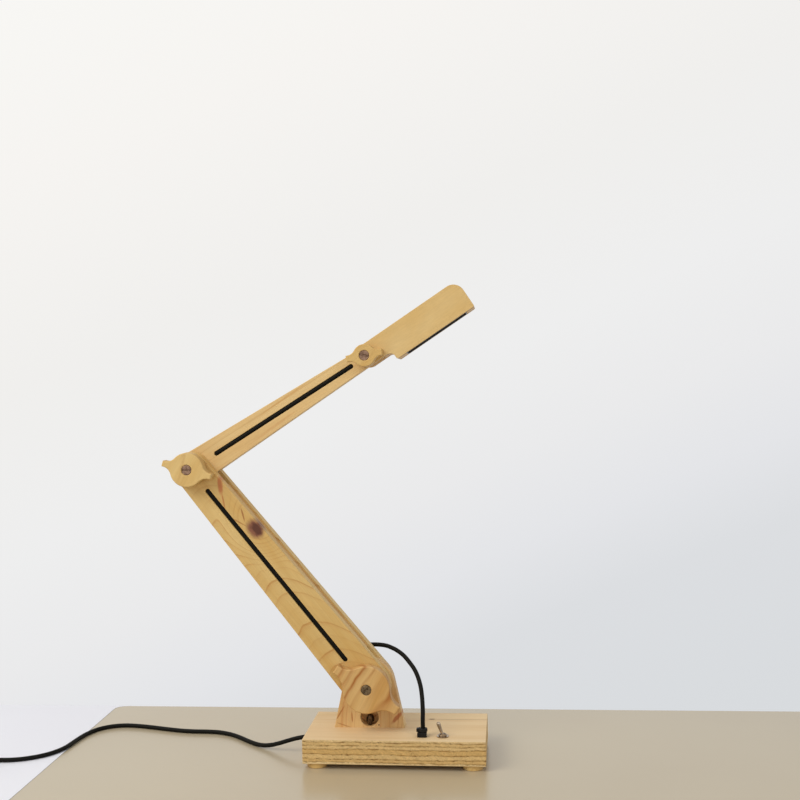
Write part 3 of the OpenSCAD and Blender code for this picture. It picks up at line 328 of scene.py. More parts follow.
def swept_lead(name, route_mm, material, sides=24):
    """A round lead along a route in millimetres."""
    curve = bpy.data.curves.new(name, "CURVE")
    curve.dimensions = "3D"
    spline = curve.splines.new("POLY")
    spline.points.add(len(route_mm) - 1)
    for point, place in zip(spline.points, route_mm):
        point.co = (*(place * MM), 1)
    seed = new_object(name + "_seed", curve)
    modifier = seed.modifiers.new("sweep", "NODES")
    modifier.node_group = sweep_tree
    values = {"Radius": LEAD_D / 2 * MM, "Sides": sides, "Material": material}
    for item in sweep_tree.interface.items_tree:
        if item.name in values:
            modifier[item.identifier] = values[item.name]
    lead = worked_out(seed, name)
    lead.data.name = name
    return lead


print("a lead's radius", LEAD_D / 2, "mm")

# %% [markdown]
# ## Finish of the leads: extruded PVC
# The sheath is soft black PVC, extruded round the wires. It is a very dark warm grey, not pure
# black, and it has a broad soft highlight with a fine unevenness from the extruder. One noise
# drives the colour, the dullness and the bump together, as the same handling causes all three.

# %% Extruded PVC and the power cord
def extruded_pvc():
    """Black PVC with 3 mm clouds, as handled PVC is dull in patches."""
    finish, tree, shader = new_finish("extruded_black_pvc", {
        "IOR": 1.53, "Specular IOR Level": 0.1})
    place = add_node(tree, "ShaderNodeTexCoord").outputs["Object"]
    cloud = add_node(tree, "ShaderNodeTexNoise", {"Vector": place, "Scale": 330, "Detail": 3})
    colour = add_node(tree, "ShaderNodeValToRGB", (cloud,), ((0.3, "#0b0a06"), (0.7, "#13110b")))
    dull = add_node(tree, "ShaderNodeMapRange", (cloud, 0.3, 0.7, 0.5, 0.62))
    uneven = add_node(tree, "ShaderNodeBump", {
        "Height": cloud, "Strength": 0.25, "Distance": 0.15 * MM})
    dress(tree, shader, colour, dull, uneven)
    return finish


pvc = extruded_pvc()
power_cord = swept_lead("power_cord", power_route, pvc, sides=16)
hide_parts("cord_run", "cord_coil", "cord_tail")
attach(power_cord, "base")
print("power cord triangles", 2 * len(power_cord.data.polygons))

# %% [markdown]
# The lamp lead lies in grooves in the arms and makes a free loop at each pivot. On the real lamp
# a loop bends as the arms move. A skeleton of bones could do that, but a loop has one body at each
# end, so it is enough to let its points follow the first body, then both, then the second.

# %% The four free loops of the lamp lead
loop_bodies = {
    "base_loop_lower": ("base", "post"), "base_loop_upper": ("post", "lower_arm"),
    "elbow_loop": ("lower_arm", "upper_arm"), "head_loop": ("upper_arm", "head"),
}
for name, (before, after) in loop_bodies.items():
    route = loops[name]
    loop = swept_lead("lead_" + name, route, pvc)
    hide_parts(name)
    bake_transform(loop, before, after, start=route[0] * MM, end=route[-1] * MM)
    print(name, "bends between", before, "and", after)

# %% [markdown]
# ## Wood, a solid pattern
# Grain isn't painted on a board: it runs through the wood, so a cut end shows the same rings as
# the face. Object coordinates give this, as they are a place in the metres of the lamp. A Mapping
# node turns them so that x runs along the board's grain, and one that also scales them
# stretches a noise into fibres and streaks.

# %% Helpers for solid patterns
LOWER_GRAIN, UPPER_GRAIN = 129, 31.4


def board_place(tree, origin, grain_degrees):
    """The point as seen from a board: x along the grain, y through it, z across. And its normal."""
    here = add_node(tree, "ShaderNodeTexCoord")
    angle = math.radians(grain_degrees)
    shift = -(Matrix.Rotation(angle, 4, "Y") @ (Vector(origin) * MM))
    place = add_node(tree, "ShaderNodeMapping", {
        "Vector": here.outputs["Object"], "Location": shift, "Rotation": (0, angle, 0)})
    facing = add_node(tree, "ShaderNodeMapping", {
        "Vector": here.outputs["Normal"], "Rotation": (0, angle, 0)})
    return place, facing


def stretched_clouds(tree, place, scale, detail=2.0, roughness=0.5, shift=(0, 0, 0)):
    """Clouds that are stretched by a scale for each direction, in clouds to the metre. Nearly
    all of their values lie between 0.3 and 0.7."""
    stretched = add_node(tree, "ShaderNodeMapping", {
        "Vector": place, "Location": shift, "Scale": scale})
    return add_node(tree, "ShaderNodeTexNoise", {
        "Vector": stretched, "Scale": 1.0, "Detail": detail, "Roughness": roughness})


print("the arms' grain runs at", LOWER_GRAIN, "and", UPPER_GRAIN, "degrees")

# %% [markdown]
# Knots and coloured streaks are single things at a place on a board. An oval, made ragged by a
# noise, says where such a mark is, and a Mix node lays its colour over the wood there.

# %% Marks on a board
def ragged_oval(tree, place, x, z, half_length, half_width, lean=0, ragged=0.35):
    """1 inside a soft ragged oval on the board's face and 0 outside it. Sizes in millimetres, and
    lean in degrees anticlockwise from the grain. A Texture mapping divides by its scale."""
    oval = add_node(tree, "ShaderNodeMapping", {
        "Vector": place, "Location": (x * MM, 0, z * MM), "Rotation": (0, math.radians(-lean), 0),
        "Scale": (half_length * MM, 1000, half_width * MM)}, vector_type="TEXTURE")
    far = add_node(tree, "ShaderNodeVectorMath", (oval,), operation="LENGTH")
    torn = stretched_clouds(tree, place, (160, 160, 420), 3.0)
    edge = add_node(tree, "ShaderNodeMath", (torn, ragged * 2, far), operation="MULTIPLY_ADD")
    return add_node(tree, "ShaderNodeMapRange", (edge, 0.6 + ragged, 1.1 + ragged, 1, 0))


def grey(value):
    """A linear grey."""
    return value, value, value, 1


print("a half grey is", grey(0.5))

# %% [markdown]
# ## Pine
# The arms, knobs, post and feet are flat sawn pine. A tree's growth rings are a set of nested
# cylinders, and a board is a slice through them. So the finish works out how far each point is
# from the middle of the tree. Where a board lies askew in the tree, the rings come out as the
# arcs and arrow shapes of real flat sawn pine, and the end grain follows by itself. Round a knot,
# the distance is made larger, so that the rings part and run round it.

# %% How far a point is from the middle of its tree
# the rings are pushed 17 mm outwards at a knot, over 2.6 times its size, in a lying oval
KNOT_PUSH, KNOT_REACH, KNOT_OVAL = 17, 2.6, (0.7, 0, 1)


def from_the_middle(tree, board, depth, askew, aside, sway, waves, knots, seed):
    """The distance to the tree's middle, which runs along the board at a slant."""
    along = add_node(tree, "ShaderNodeSeparateXYZ", (board,)).outputs[0]
    along = add_node(tree, "ShaderNodeCombineXYZ", (0.0, along, along))
    middle = add_node(tree, "ShaderNodeVectorMath", (
        along, (0, -askew, 0), (0, -depth * MM, -aside * MM)), operation="MULTIPLY_ADD")
    across = add_node(tree, "ShaderNodeVectorMath", (board, (0, 1, 1)), operation="MULTIPLY")
    across = add_node(tree, "ShaderNodeVectorMath", (across, middle), operation="ADD")
    radius = add_node(tree, "ShaderNodeVectorMath", (across,), operation="LENGTH")
    # the tree wanders a little: long clouds, 35 mm wide, push the rings about
    wander = stretched_clouds(tree, board, (waves, 28, 28), 2.0, 0.4, (seed, 0, seed))
    radius = add_node(tree, "ShaderNodeMath", (wander, sway * MM, radius),
                      operation="MULTIPLY_ADD")
    for x, z, size in knots:
        off = add_node(tree, "ShaderNodeVectorMath", (board, (-x * MM, 0, -z * MM)),
                       operation="ADD")
        off = add_node(tree, "ShaderNodeVectorMath", (off, KNOT_OVAL), operation="MULTIPLY")
        far = add_node(tree, "ShaderNodeVectorMath", (off,), operation="LENGTH")
        push = add_node(tree, "ShaderNodeMapRange", (
            far, 0, size * KNOT_REACH * MM, KNOT_PUSH * MM, 0), interpolation_type="SMOOTHERSTEP")
        radius = add_node(tree, "ShaderNodeMath", (radius, push), operation="ADD")
    return radius


print("a knot pushes the rings", KNOT_PUSH, "mm outwards")

# %% [markdown]
# A year starts with pale spring wood, which darkens slowly to an orange summer line, and then
# starts pale again at once. Real boards are uneven: not every year gives a strong line, and a
# line fades in and out along its way. Two noises do that, one by the year and one by the place.

# %% Summer lines
# the share of a year's growth after which it turns dark
PALE_SHARE = 0.84


def summer_lines(tree, board, radius, ring, strength, broad):
    """How dark the summer wood is, from 0 to 1. ring is a year's growth in millimetres."""
    rings = add_node(tree, "ShaderNodeMath", (radius, ring * MM), operation="DIVIDE")
    year = add_node(tree, "ShaderNodeMath", (rings,), operation="FRACT")
    line = add_node(tree, "ShaderNodeValToRGB", (year,), (
        (0.0, grey(0)), (0.55 - broad, grey(0.03)), (PALE_SHARE - broad, grey(0.3)),
        (0.94 - broad / 2, grey(1)), (1.0, grey(0.1))))
    years = add_node(tree, "ShaderNodeTexNoise", {"W": rings, "Scale": 0.6, "Detail": 1.0},
                     noise_dimensions="1D")
    by_year = add_node(tree, "ShaderNodeMapRange", (years, 0.38, 0.62, 0.12 * strength, strength))
    places = stretched_clouds(tree, board, (22, 60, 60), 1.0)
    by_place = add_node(tree, "ShaderNodeMapRange", (places, 0.35, 0.6, 0.45, 1.0))
    share = add_node(tree, "ShaderNodeMath", (by_year, by_place), operation="MULTIPLY")
    return add_node(tree, "ShaderNodeMath", (line, share), operation="MULTIPLY")


def wood_finish(name, roughness=0.55):
    """An empty finish with the dull sheen of bare or oiled wood."""
    return new_finish(name, {"Roughness": roughness, "IOR": 1.5, "Specular IOR Level": 0.3})


print("a year is pale for", PALE_SHARE, "of its growth")

# %% [markdown]
# The finish then lays colour over colour, as the eye sorts them: broad pale and warm tones, the
# summer lines, fine fibres, single marks such as a red streak, the knots, and last the cut ends,
# which drink more oil and look darker. The lines also stand up a little under the fingers.

# %% Pine
def pine(name, origin, grain_degrees, depth, askew, seed, aside=0, ring=3.6, strength=1.0,
         pale="#ddbd7b", warm="#d0a861", line="#ae7a3a", sway=4.0, waves=9, knots=(), marks=(),
         broad=0.0):
    """Pine whose grain runs at an angle over the face. origin, knots and marks are in millimetres.
    depth is how far behind the face the tree's middle lies at the origin, and askew how much
    deeper it lies for each millimetre along the grain; aside moves it across the face. sway is
    how far the rings wander, and waves how often to the metre. broad widens the summer lines. A
    mark is a coloured patch: its place, size, lean, colour and strength."""
    finish, tree, shader = wood_finish(name)
    board, facing = board_place(tree, origin, grain_degrees)
    radius = from_the_middle(tree, board, depth, askew, aside, sway, waves, knots, seed)
    summer = summer_lines(tree, board, radius, ring, strength, broad)
    tone = stretched_clouds(tree, board, (9, 55, 55), 3.0, 0.55, (seed, seed, 0))
    wood = add_node(tree, "ShaderNodeValToRGB", (tone,), ((0.32, pale), (0.68, warm)))
    wood = add_node(tree, "ShaderNodeMix", {0: summer, 6: wood, 7: line}, data_type="RGBA")
    # fibres 0.1 mm wide can't show here, so they are drawn 0.9 mm wide and 40 mm long
    fibre = stretched_clouds(tree, board, (25, 1100, 1100), 3.0, 0.6)
    shade = add_node(tree, "ShaderNodeMapRange", (fibre, 0.3, 0.7, 0.94, 1.05))
    wood = add_node(tree, "ShaderNodeVectorMath", {0: wood, "Scale": shade}, operation="SCALE")
    layers = []
    for x, z, half_length, half_width, lean, colour, share in marks:
        where = ragged_oval(tree, board, x, z, half_length, half_width, lean)
        where = add_node(tree, "ShaderNodeMath", (where, share), operation="MULTIPLY")
        layers.append((where, colour))
    for x, z, size in knots:
        # a dark hard knot with a darker heart, cut a little across, so it is an oval
        layers += [
            (ragged_oval(tree, board, x, z, size * 0.76, size * 0.6, ragged=0.2), "#8a5a41"),
            (ragged_oval(tree, board, x - 1, z - 1, size * 0.5, size * 0.34, ragged=0.5),
             "#5f3829")]
    ends = add_node(tree, "ShaderNodeSeparateXYZ", (facing,)).outputs[0]
    ends = add_node(tree, "ShaderNodeMath", (ends,), operation="ABSOLUTE")
    layers.append((add_node(tree, "ShaderNodeMapRange", (ends, 0.5, 1, 0, 0.35)), "#b08550"))
    for where, colour in layers:
        wood = add_node(tree, "ShaderNodeMix", {0: where, 6: wood, 7: colour}, data_type="RGBA")
    relief = add_node(tree, "ShaderNodeMath", (summer, -0.6, fibre), operation="MULTIPLY_ADD")
    uneven = add_node(tree, "ShaderNodeBump", {
        "Height": relief, "Strength": 0.3, "Distance": 0.12 * MM})
    dress(tree, shader, wood, normal=uneven)
    return finish


print("a pine finish has", pine.__code__.co_argcount, "settings")

# %% [markdown]
# Each board is cut from its own place in a tree. The lower arm is quiet wood with arcs across it,
# a knot near its right edge and a red streak; the upper arm is straight grained; the post shows
# steep arcs. The numbers were chosen one board at a time, against the photograph.

# %% The pine boards, each from its own place in a tree
# the lower arm: quiet and honey coloured, with faint arcs
lower_pine = pine(
    "flat_sawn_pine_lower_arm", pivot, LOWER_GRAIN, depth=80, askew=0.15, aside=12, ring=2.6,
    sway=3.6, strength=0.8, line="#b67c3b", seed=3.1, knots=((194.5, -13.6, 15),), marks=(
        (251.3, -13.8, 10, 3.0, -33, "#b8663a", 0.8), (237, -6.2, 10, 0.9, -29, "#b0612f", 0.7),
        (214, -13, 8, 0.9, -24, "#9a5c32", 0.8), (210, -5, 9, 0.8, 22, "#a5672f", 0.7)))
# its back board: plain wood, seen only past the front one
lower_back_pine = pine("flat_sawn_pine_lower_back", pivot, LOWER_GRAIN, depth=45, askew=0.12,
                       seed=7.7)
# the spacer: its wood is painted darker as painted shade, since it lies deep between the boards; this sets
# it off from them
spacer_pine = pine("pine_spacer", pivot, LOWER_GRAIN, depth=70, askew=0.1, seed=1.3,
                   pale="#cfa66c", warm="#c08f55")
# the upper arm: pale and calm, with long straight lines
upper_pine = pine(
    "straight_grained_pine_upper_arm", elbow, UPPER_GRAIN, depth=14, askew=0.015, aside=60,
    ring=5.2, strength=0.45, sway=2.4, seed=5.2, line="#bf8b48", pale="#e6c88c", warm="#dcb678",
    marks=((120, 9.5, 34, 1.1, 2, "#c99550", 0.5), (96, -9, 30, 1.6, 3, "#cf9c60", 0.45)))
# the post: pale with reddish marks and steep arcs; a broad reddish patch at its lower right is partly
# painted shade
post_pine = pine(
    "flat_sawn_pine_post", pivot, 84, depth=8, askew=0.36, aside=-6, ring=4.2, sway=6, waves=22,
    strength=1.1, line="#b8743f", pale="#e4c58a", warm="#d4a96c", seed=2.4, marks=(
        # the mark at (-30.2, -31.5) is a real reddish streak, made broad as painted shade where the post's
        # lower right is darker and redder
        (-39.9, -13.6, 0.9, 0.9, 0, "#5f2319", 0.9), (-30.2, -31.5, 9, 2.2, -37, "#a9552d", 0.75),
        (-32.4, 26.7, 10, 0.9, -26, "#a5652f", 0.75), (-35.1, 14.3, 6, 0.9, 10, "#a5652f", 0.75),
        (-44.2, 22.1, 8, 0.7, 78, "#a8703c", 0.65)))
# the knobs: strong broad lines on the post's, and hardly any on the other two
knob_pines = {
    "post_knob": pine("pine_post_knob", pivot + Vector((9, 0, 0)), 62, depth=20, askew=0.12,
                      aside=-40, ring=7.6, line="#a9692f", seed=4.4, strength=1.25, sway=8,
                      waves=34, pale="#dcb677", warm="#cb9c58", broad=0.3),
    "elbow_knob": pine("pine_elbow_knob", elbow, 60, depth=30, askew=0.1, aside=24, ring=8,
                       strength=0.3, line="#a87036", seed=8.1),
    "head_knob": pine("pine_head_knob", head_pivot, 35, depth=26, askew=0.1, aside=14, ring=6,
                      strength=0.4, seed=6.3),
}
# the feet: close rings, as they are turned from thin wood
foot_pine = pine("turned_pine_feet", (0, 0, 0), 12, depth=50, askew=0.1, ring=3, seed=9.0)
print("pine finishes", len([m for m in bpy.data.materials if "pine" in m.name]))

# %% [markdown]
# ## Plywood of the base
# The base is a block of seven-ply softwood plywood. At the sawn edges the plies show as bands,
# with dark glue between them, and the saw has torn the short fibres out beside the glue. Each ply
# could be a piece of its own, but they are one solid, so a colour ramp over the height draws
# them, and noise bends the lines as the real plies bow and tear.

# %% The sawn edge of the base
BLOCK_TOP, BLOCK_THICK = 29.0, 24.0
GLUE = (1.9, 5.3, 8.8, 13.8, 18.3, 21.6)
PLIES = ("#e2c48c", "#d9b779", "#debd80", "#d4ae6c", "#dcba7c", "#d6b272", "#e6ca92")
# the plies bow by a millimetre over 40 mm, and the saw tears a 5 mm ripple beside the glue
BOW, RIPPLE = 3.4, 2.2


def sawn_edge(tree, place):
    """The colour of the sawn edge, and its relief, which is low where the glue line is torn."""
    height = add_node(tree, "ShaderNodeSeparateXYZ", (place,)).outputs[2]
    bow = stretched_clouds(tree, place, (26, 26, 60))
    height = add_node(tree, "ShaderNodeMath", (bow, BOW * MM, height), operation="MULTIPLY_ADD")
    ripple = stretched_clouds(tree, place, (190, 190, 320), 3.0, 0.6)
    height = add_node(tree, "ShaderNodeMath", (ripple, RIPPLE * MM, height),
                      operation="MULTIPLY_ADD")
    # clouds are a half on average, so the bands start that much higher
    top = BLOCK_TOP + (BOW + RIPPLE) / 2
    depth = add_node(tree, "ShaderNodeMapRange", (
        height, top * MM, (top - BLOCK_THICK) * MM, 0, 1))
    bands, glue_line = [], []
    for colour, above, below in zip(PLIES, (0,) + GLUE, GLUE + (BLOCK_THICK,)):
        bands += [((above + 0.1) / BLOCK_THICK, colour), ((below - 0.1) / BLOCK_THICK, colour)]
    for middle in GLUE:
        glue_line += [((middle + off) / BLOCK_THICK, grey(dark))
                      for off, dark in ((-0.9, 0), (-0.15, 1), (0.35, 1), (1.1, 0))]
    near_glue = add_node(tree, "ShaderNodeValToRGB", (depth,), glue_line)
    # the glue line comes and goes, 12 mm at a time, and has dark torn spots 3 mm long in it
    comes = stretched_clouds(tree, place, (85, 85, 500), 3.0, 0.6)
    comes = add_node(tree, "ShaderNodeMapRange", (comes, 0.38, 0.6, 0.08, 0.75))
    spots = stretched_clouds(tree, place, (330, 330, 900), 2.0, 0.6)
    spots = add_node(tree, "ShaderNodeMapRange", (spots, 0.54, 0.68, 0, 0.85))
    line = add_node(tree, "ShaderNodeMath", (near_glue, comes), operation="MULTIPLY")
    torn = add_node(tree, "ShaderNodeMath", (near_glue, spots), operation="MULTIPLY")
    # marks of the saw's teeth: faint slanting lines 3 mm apart
    slant = add_node(tree, "ShaderNodeMapping", {
        "Vector": place, "Rotation": (0, math.radians(-38), 0)})
    saw = stretched_clouds(tree, slant, (40, 330, 330))
    saw = add_node(tree, "ShaderNodeMapRange", (saw, 0.3, 0.7, 0.9, 1.06))
    pores = stretched_clouds(tree, place, (900, 900, 900))
    shade = add_node(tree, "ShaderNodeMapRange", (pores, 0.3, 0.7, 0.86, 1.1))
    shade = add_node(tree, "ShaderNodeMath", (shade, saw), operation="MULTIPLY")
    edge = add_node(tree, "ShaderNodeValToRGB", (depth,), bands)
    edge = add_node(tree, "ShaderNodeVectorMath", {0: edge, "Scale": shade}, operation="SCALE")
    # short torn fibres anywhere on the sawn edge: brown specks 2 mm long
    speck = stretched_clouds(tree, place, (380, 380, 800), 3.0, 0.65)
    speck = add_node(tree, "ShaderNodeMapRange", (speck, 0.6, 0.72, 0, 0.5))
    for where, colour in ((line, "#8c6329"), (torn, "#64431b"), (speck, "#7a5426")):
        edge = add_node(tree, "ShaderNodeMix", {0: where, 6: edge, 7: colour}, data_type="RGBA")
    hollow = add_node(tree, "ShaderNodeMath", (line, torn), operation="ADD")
    return edge, add_node(tree, "ShaderNodeMath", (hollow, -1.5, pores), operation="MULTIPLY_ADD")


print("plies", len(PLIES), "in", BLOCK_THICK, "mm")

# %% [markdown]
# From above, the block is one pale sheet of veneer with straight grain, a joint in it, and a
# small dark split where the joint starts. One material serves both the top and the edges, and
# picks one or the other by which way the surface faces, so no face has to be marked by hand.

# %% The face veneer, and the two together
JOINT_START = (33, 24)


def face_veneer(tree, place):
    """The colour of the veneer, and its streaks, 100 mm long and 6 mm wide along the block."""
    streak = stretched_clouds(tree, place, (8, 90, 90), 4.0, 0.55)
    veneer = add_node(tree, "ShaderNodeValToRGB", (streak,), (
        (0.3, "#e6ca9a"), (0.5, "#e2c494"), (0.72, "#d9b783")))
    fine = stretched_clouds(tree, place, (30, 700, 700))
    fine = add_node(tree, "ShaderNodeMapRange", (fine, 0.3, 0.7, 0.97, 1.02))
    veneer = add_node(tree, "ShaderNodeVectorMath", {0: veneer, "Scale": fine}, operation="SCALE")
    joint = add_node(tree, "ShaderNodeVectorMath", (
        place, (-JOINT_START[0] * MM, -JOINT_START[1] * MM, 0)), operation="ADD")
    joint_x, joint_y, _ = add_node(tree, "ShaderNodeSeparateXYZ", (joint,)).outputs
    thin = add_node(tree, "ShaderNodeMath", (joint_y,), operation="ABSOLUTE")
    thin = add_node(tree, "ShaderNodeMapRange", (thin, 0.3 * MM, 1.2 * MM, 0.35, 0))
    begun = add_node(tree, "ShaderNodeMath", (joint_x, 0.0), operation="GREATER_THAN")
    thin = add_node(tree, "ShaderNodeMath", (thin, begun), operation="MULTIPLY")
    gap = add_node(tree, "ShaderNodeVectorMath", (joint, (0.4, 1, 0)), operation="MULTIPLY")
    gap = add_node(tree, "ShaderNodeVectorMath", (gap,), operation="LENGTH")
    gap = add_node(tree, "ShaderNodeMapRange", (gap, 0.9 * MM, 1.9 * MM, 0.95, 0))
    dark = add_node(tree, "ShaderNodeMath", (thin, gap), operation="MAXIMUM")
    veneer = add_node(tree, "ShaderNodeMix", {0: dark, 6: veneer, 7: "#5d4028"},
                      data_type="RGBA")
    return veneer, streak


def sawn_plywood():
    """The block's material: veneer where the surface lies flat, and sawn edge elsewhere."""
    finish, tree, shader = wood_finish("sawn_pine_plywood", 0.65)
    here = add_node(tree, "ShaderNodeTexCoord")
    edge, relief = sawn_edge(tree, here.outputs["Object"])
    veneer, streak = face_veneer(tree, here.outputs["Object"])
    lies = add_node(tree, "ShaderNodeSeparateXYZ", (here.outputs["Normal"],)).outputs[2]
    lies = add_node(tree, "ShaderNodeMath", (lies,), operation="ABSOLUTE")
    lies = add_node(tree, "ShaderNodeMapRange", (lies, 0.6, 0.8, 0, 1))
    wood = add_node(tree, "ShaderNodeMix", {0: lies, 6: edge, 7: veneer}, data_type="RGBA")
    relief = add_node(tree, "ShaderNodeMix", {0: lies, 2: relief, 3: streak})
    uneven = add_node(tree, "ShaderNodeBump", {
        "Height": relief, "Strength": 0.35, "Distance": 0.2 * MM})
    dress(tree, shader, wood, normal=uneven)
    return finish


base_plywood = sawn_plywood()
print("base plywood nodes", len(base_plywood.node_tree.nodes))

# %% [markdown]
# ## Plywood of the lamp head
# The head's two boards are thin light plywood, sliced rather than sawn. The face is quiet, with
# faint pores, and the edge shows plies 1.4 mm thick, light and dark by turns, as every other ply
# lies across. Here a ramp that repeats every 2.8 mm is enough, as there's no torn glue to draw.

# %% Plywood of the lamp head
PLY_PAIR = 2.8


def sliced_veneer(name, origin, grain_degrees):
    """Thin light plywood with a quiet face and striped edges."""
    finish, tree, shader = wood_finish(name)
    board, facing = board_place(tree, origin, grain_degrees)
    pore = stretched_clouds(tree, board, (110, 900, 900))
    face = add_node(tree, "ShaderNodeValToRGB", (stretched_clouds(tree, board, (22, 50, 50), 3.0),),
                    ((0.3, "#e0c184"), (0.7, "#dab673")))
    shade = add_node(tree, "ShaderNodeMapRange", (pore, 0.3, 0.7, 0.95, 1.03))
    face = add_node(tree, "ShaderNodeVectorMath", {0: face, "Scale": shade}, operation="SCALE")
    layer = add_node(tree, "ShaderNodeSeparateXYZ", (board,)).outputs[1]
    layer = add_node(tree, "ShaderNodeMath", (layer, PLY_PAIR * MM), operation="DIVIDE")
    layer = add_node(tree, "ShaderNodeMath", (layer,), operation="FRACT")
    edge = add_node(tree, "ShaderNodeValToRGB", (layer,), (
        (0.0, "#cda771"), (0.45, "#d2ad76"), (0.5, "#9f7a4a"), (0.55, "#b98f5a"),
        (0.95, "#bd9560"), (1.0, "#9b7644")))
    faces = add_node(tree, "ShaderNodeSeparateXYZ", (facing,)).outputs[1]
    faces = add_node(tree, "ShaderNodeMath", (faces,), operation="ABSOLUTE")
    faces = add_node(tree, "ShaderNodeMapRange", (faces, 0.5, 0.8, 0, 1))
    wood = add_node(tree, "ShaderNodeMix", {0: faces, 6: edge, 7: face}, data_type="RGBA")
    uneven = add_node(tree, "ShaderNodeBump", {
        "Height": pore, "Strength": 0.2, "Distance": 0.1 * MM})
    dress(tree, shader, wood, normal=uneven)
    return finish


head_plywood = sliced_veneer("sliced_light_plywood", head_pivot, 33)
print("a ply of the head is", PLY_PAIR / 2, "mm thick")

# %% [markdown]
# ## Metals and plastics
# The screws and nuts are plain steel that has been handled: half shiny, and dull in patches. The
# screws' warm brown tint is a painted reflection of the wood round them, and the bolt in the
# post's hole is painted nearly black as painted shade. The switch is nickel plated brass and
# brighter. The gland, the ties and the lamp tray are moulded black, with the fine grain of a
# spark-eroded mould. Two functions make them all, as metals differ from one another only in
# colour, shine and the size of their scratches.

# %% Metals
def worn_metal(name, bright, dark, roughness, grit_mm=0.8):
    """Metal with dull patches and fine scratches, grit_mm apart."""
    finish, tree, shader = new_finish(name, {"Metallic": 1.0})
    place = add_node(tree, "ShaderNodeTexCoord").outputs["Object"]
    wear = add_node(tree, "ShaderNodeTexNoise", {
        "Vector": place, "Scale": 1 / (grit_mm * 3 * MM), "Detail": 4.0, "Roughness": 0.65})
    tint = add_node(tree, "ShaderNodeValToRGB", (wear,), ((0.35, dark), (0.65, bright)))
    dull = add_node(tree, "ShaderNodeMapRange", (wear, 0.35, 0.65, roughness + 0.15, roughness))
    grit = add_node(tree, "ShaderNodeTexNoise", {
        "Vector": place, "Scale": 1 / (grit_mm * MM), "Detail": 2.0})
    uneven = add_node(tree, "ShaderNodeBump", {
        "Height": grit, "Strength": 0.2, "Distance": 0.1 * MM})
    dress(tree, shader, tint, dull, uneven)
    return finish


# handled steel: a soft gleam, dull where it was rubbed; its warm brown tint is a painted reflection of the
# wood round it
screw_steel = worn_metal("handled_steel", "#ab8b75", "#765d4c", 0.36)
# dulled steel: browner and darker; its brown is a painted reflection of the wood round it
dull_steel = worn_metal("dulled_steel", "#8f7c62", "#5c4c3a", 0.4)
# dark steel: a nearly black brown with lighter warm patches, as painted shade of the hole it stands in, with
# a painted warm reflection
bolt_steel = worn_metal("oiled_dark_steel", "#705840", "#3d2e20", 0.42)
# zinc plate: pale grey, clean and a little frosted
nut_steel = worn_metal("zinc_plated_steel", "#b3b0a8", "#8d8a82", 0.3)
# nickel plate: the shiniest, with clear bright and dark bands
nickel = worn_metal("nickel_plated_brass", "#b5a592", "#85745f", 0.16, grit_mm=1.5)
# tinned brass: a pale yellow shimmer
tin = worn_metal("tinned_brass", "#c9b98c", "#a3925f", 0.3)
print("finishes so far", len(bpy.data.materials))

# %% Plastics
def moulded(name, colour, worn, roughness, grain_mm=0.6, more=()):
    """Moulded plastic with the fine even grain of its mould and slightly rubbed patches."""
    finish, tree, shader = new_finish(name, {"IOR": 1.5, **dict(more)})
    place = add_node(tree, "ShaderNodeTexCoord").outputs["Object"]
    grain = add_node(tree, "ShaderNodeTexVoronoi", {
        "Vector": place, "Scale": 1 / (grain_mm * MM)})
    rubbed = add_node(tree, "ShaderNodeTexNoise", {"Vector": place, "Scale": 120, "Detail": 3})
    tint = add_node(tree, "ShaderNodeValToRGB", (rubbed,), ((0.4, colour), (0.75, worn)))
    dull = add_node(tree, "ShaderNodeMapRange", (rubbed, 0.4, 0.7, roughness, roughness - 0.12))
    uneven = add_node(tree, "ShaderNodeBump", {
        "Height": grain, "Strength": 0.15, "Distance": 0.1 * MM})
    dress(tree, shader, tint, dull, uneven)
    return finish


# nylon: black with a faint broad sheen, as its grain scatters the light
nylon = moulded("black_nylon", "#0c0b0b", "#161412", 0.55, more={"Specular IOR Level": 0.22})
# lacquer: black, and greyer where it was rubbed
tray_black = moulded("black_lacquered_tray", "#100f0e", "#1b1917", 0.45, grain_mm=0.9)
# phenolic resin: dull brick red
red_phenolic = moulded("red_phenolic", "#7a1f18", "#8f3a2c", 0.4)
# polyamide: off-white like bone
white_nylon = moulded("white_polyamide", "#d9d5c8", "#cbc5b4", 0.45)
# solder mask: a clean white with some gloss
board_white = moulded("white_solder_mask", "#e6e4de", "#dad6cc", 0.35)
# frosted acrylic: milky, as light gets a little way into it
frosted = moulded("frosted_acrylic", "#eceae4", "#e2dfd6", 0.6, grain_mm=0.4,
                  more={"Subsurface Weight": 0.3, "Subsurface Scale": 0.002})
# silicone with phosphor: the egg yellow of light chips that are off
phosphor = moulded("silicone_and_phosphor", "#e0bf4a", "#d3ae3c", 0.3)
print("finishes so far", len(bpy.data.materials))

# %% [markdown]
# ## Boards with broken edges
# The carpenter took the sharp edges off every board with sandpaper. Each CAD board is copied, its
# doubled points merged and its flat faces made whole, and the Bevel modifier rounds the edges.
# A Weighted Normal modifier then lets the large faces decide how light falls, so that they stay
# flat and only the rounded edges shade. The copy stands for the CAD board, which stays as it is.

# %% A board with its edges sanded
MERGE_MM, FLAT_DEGREES, SHARP_DEGREES = 0.002, 0.6, 32


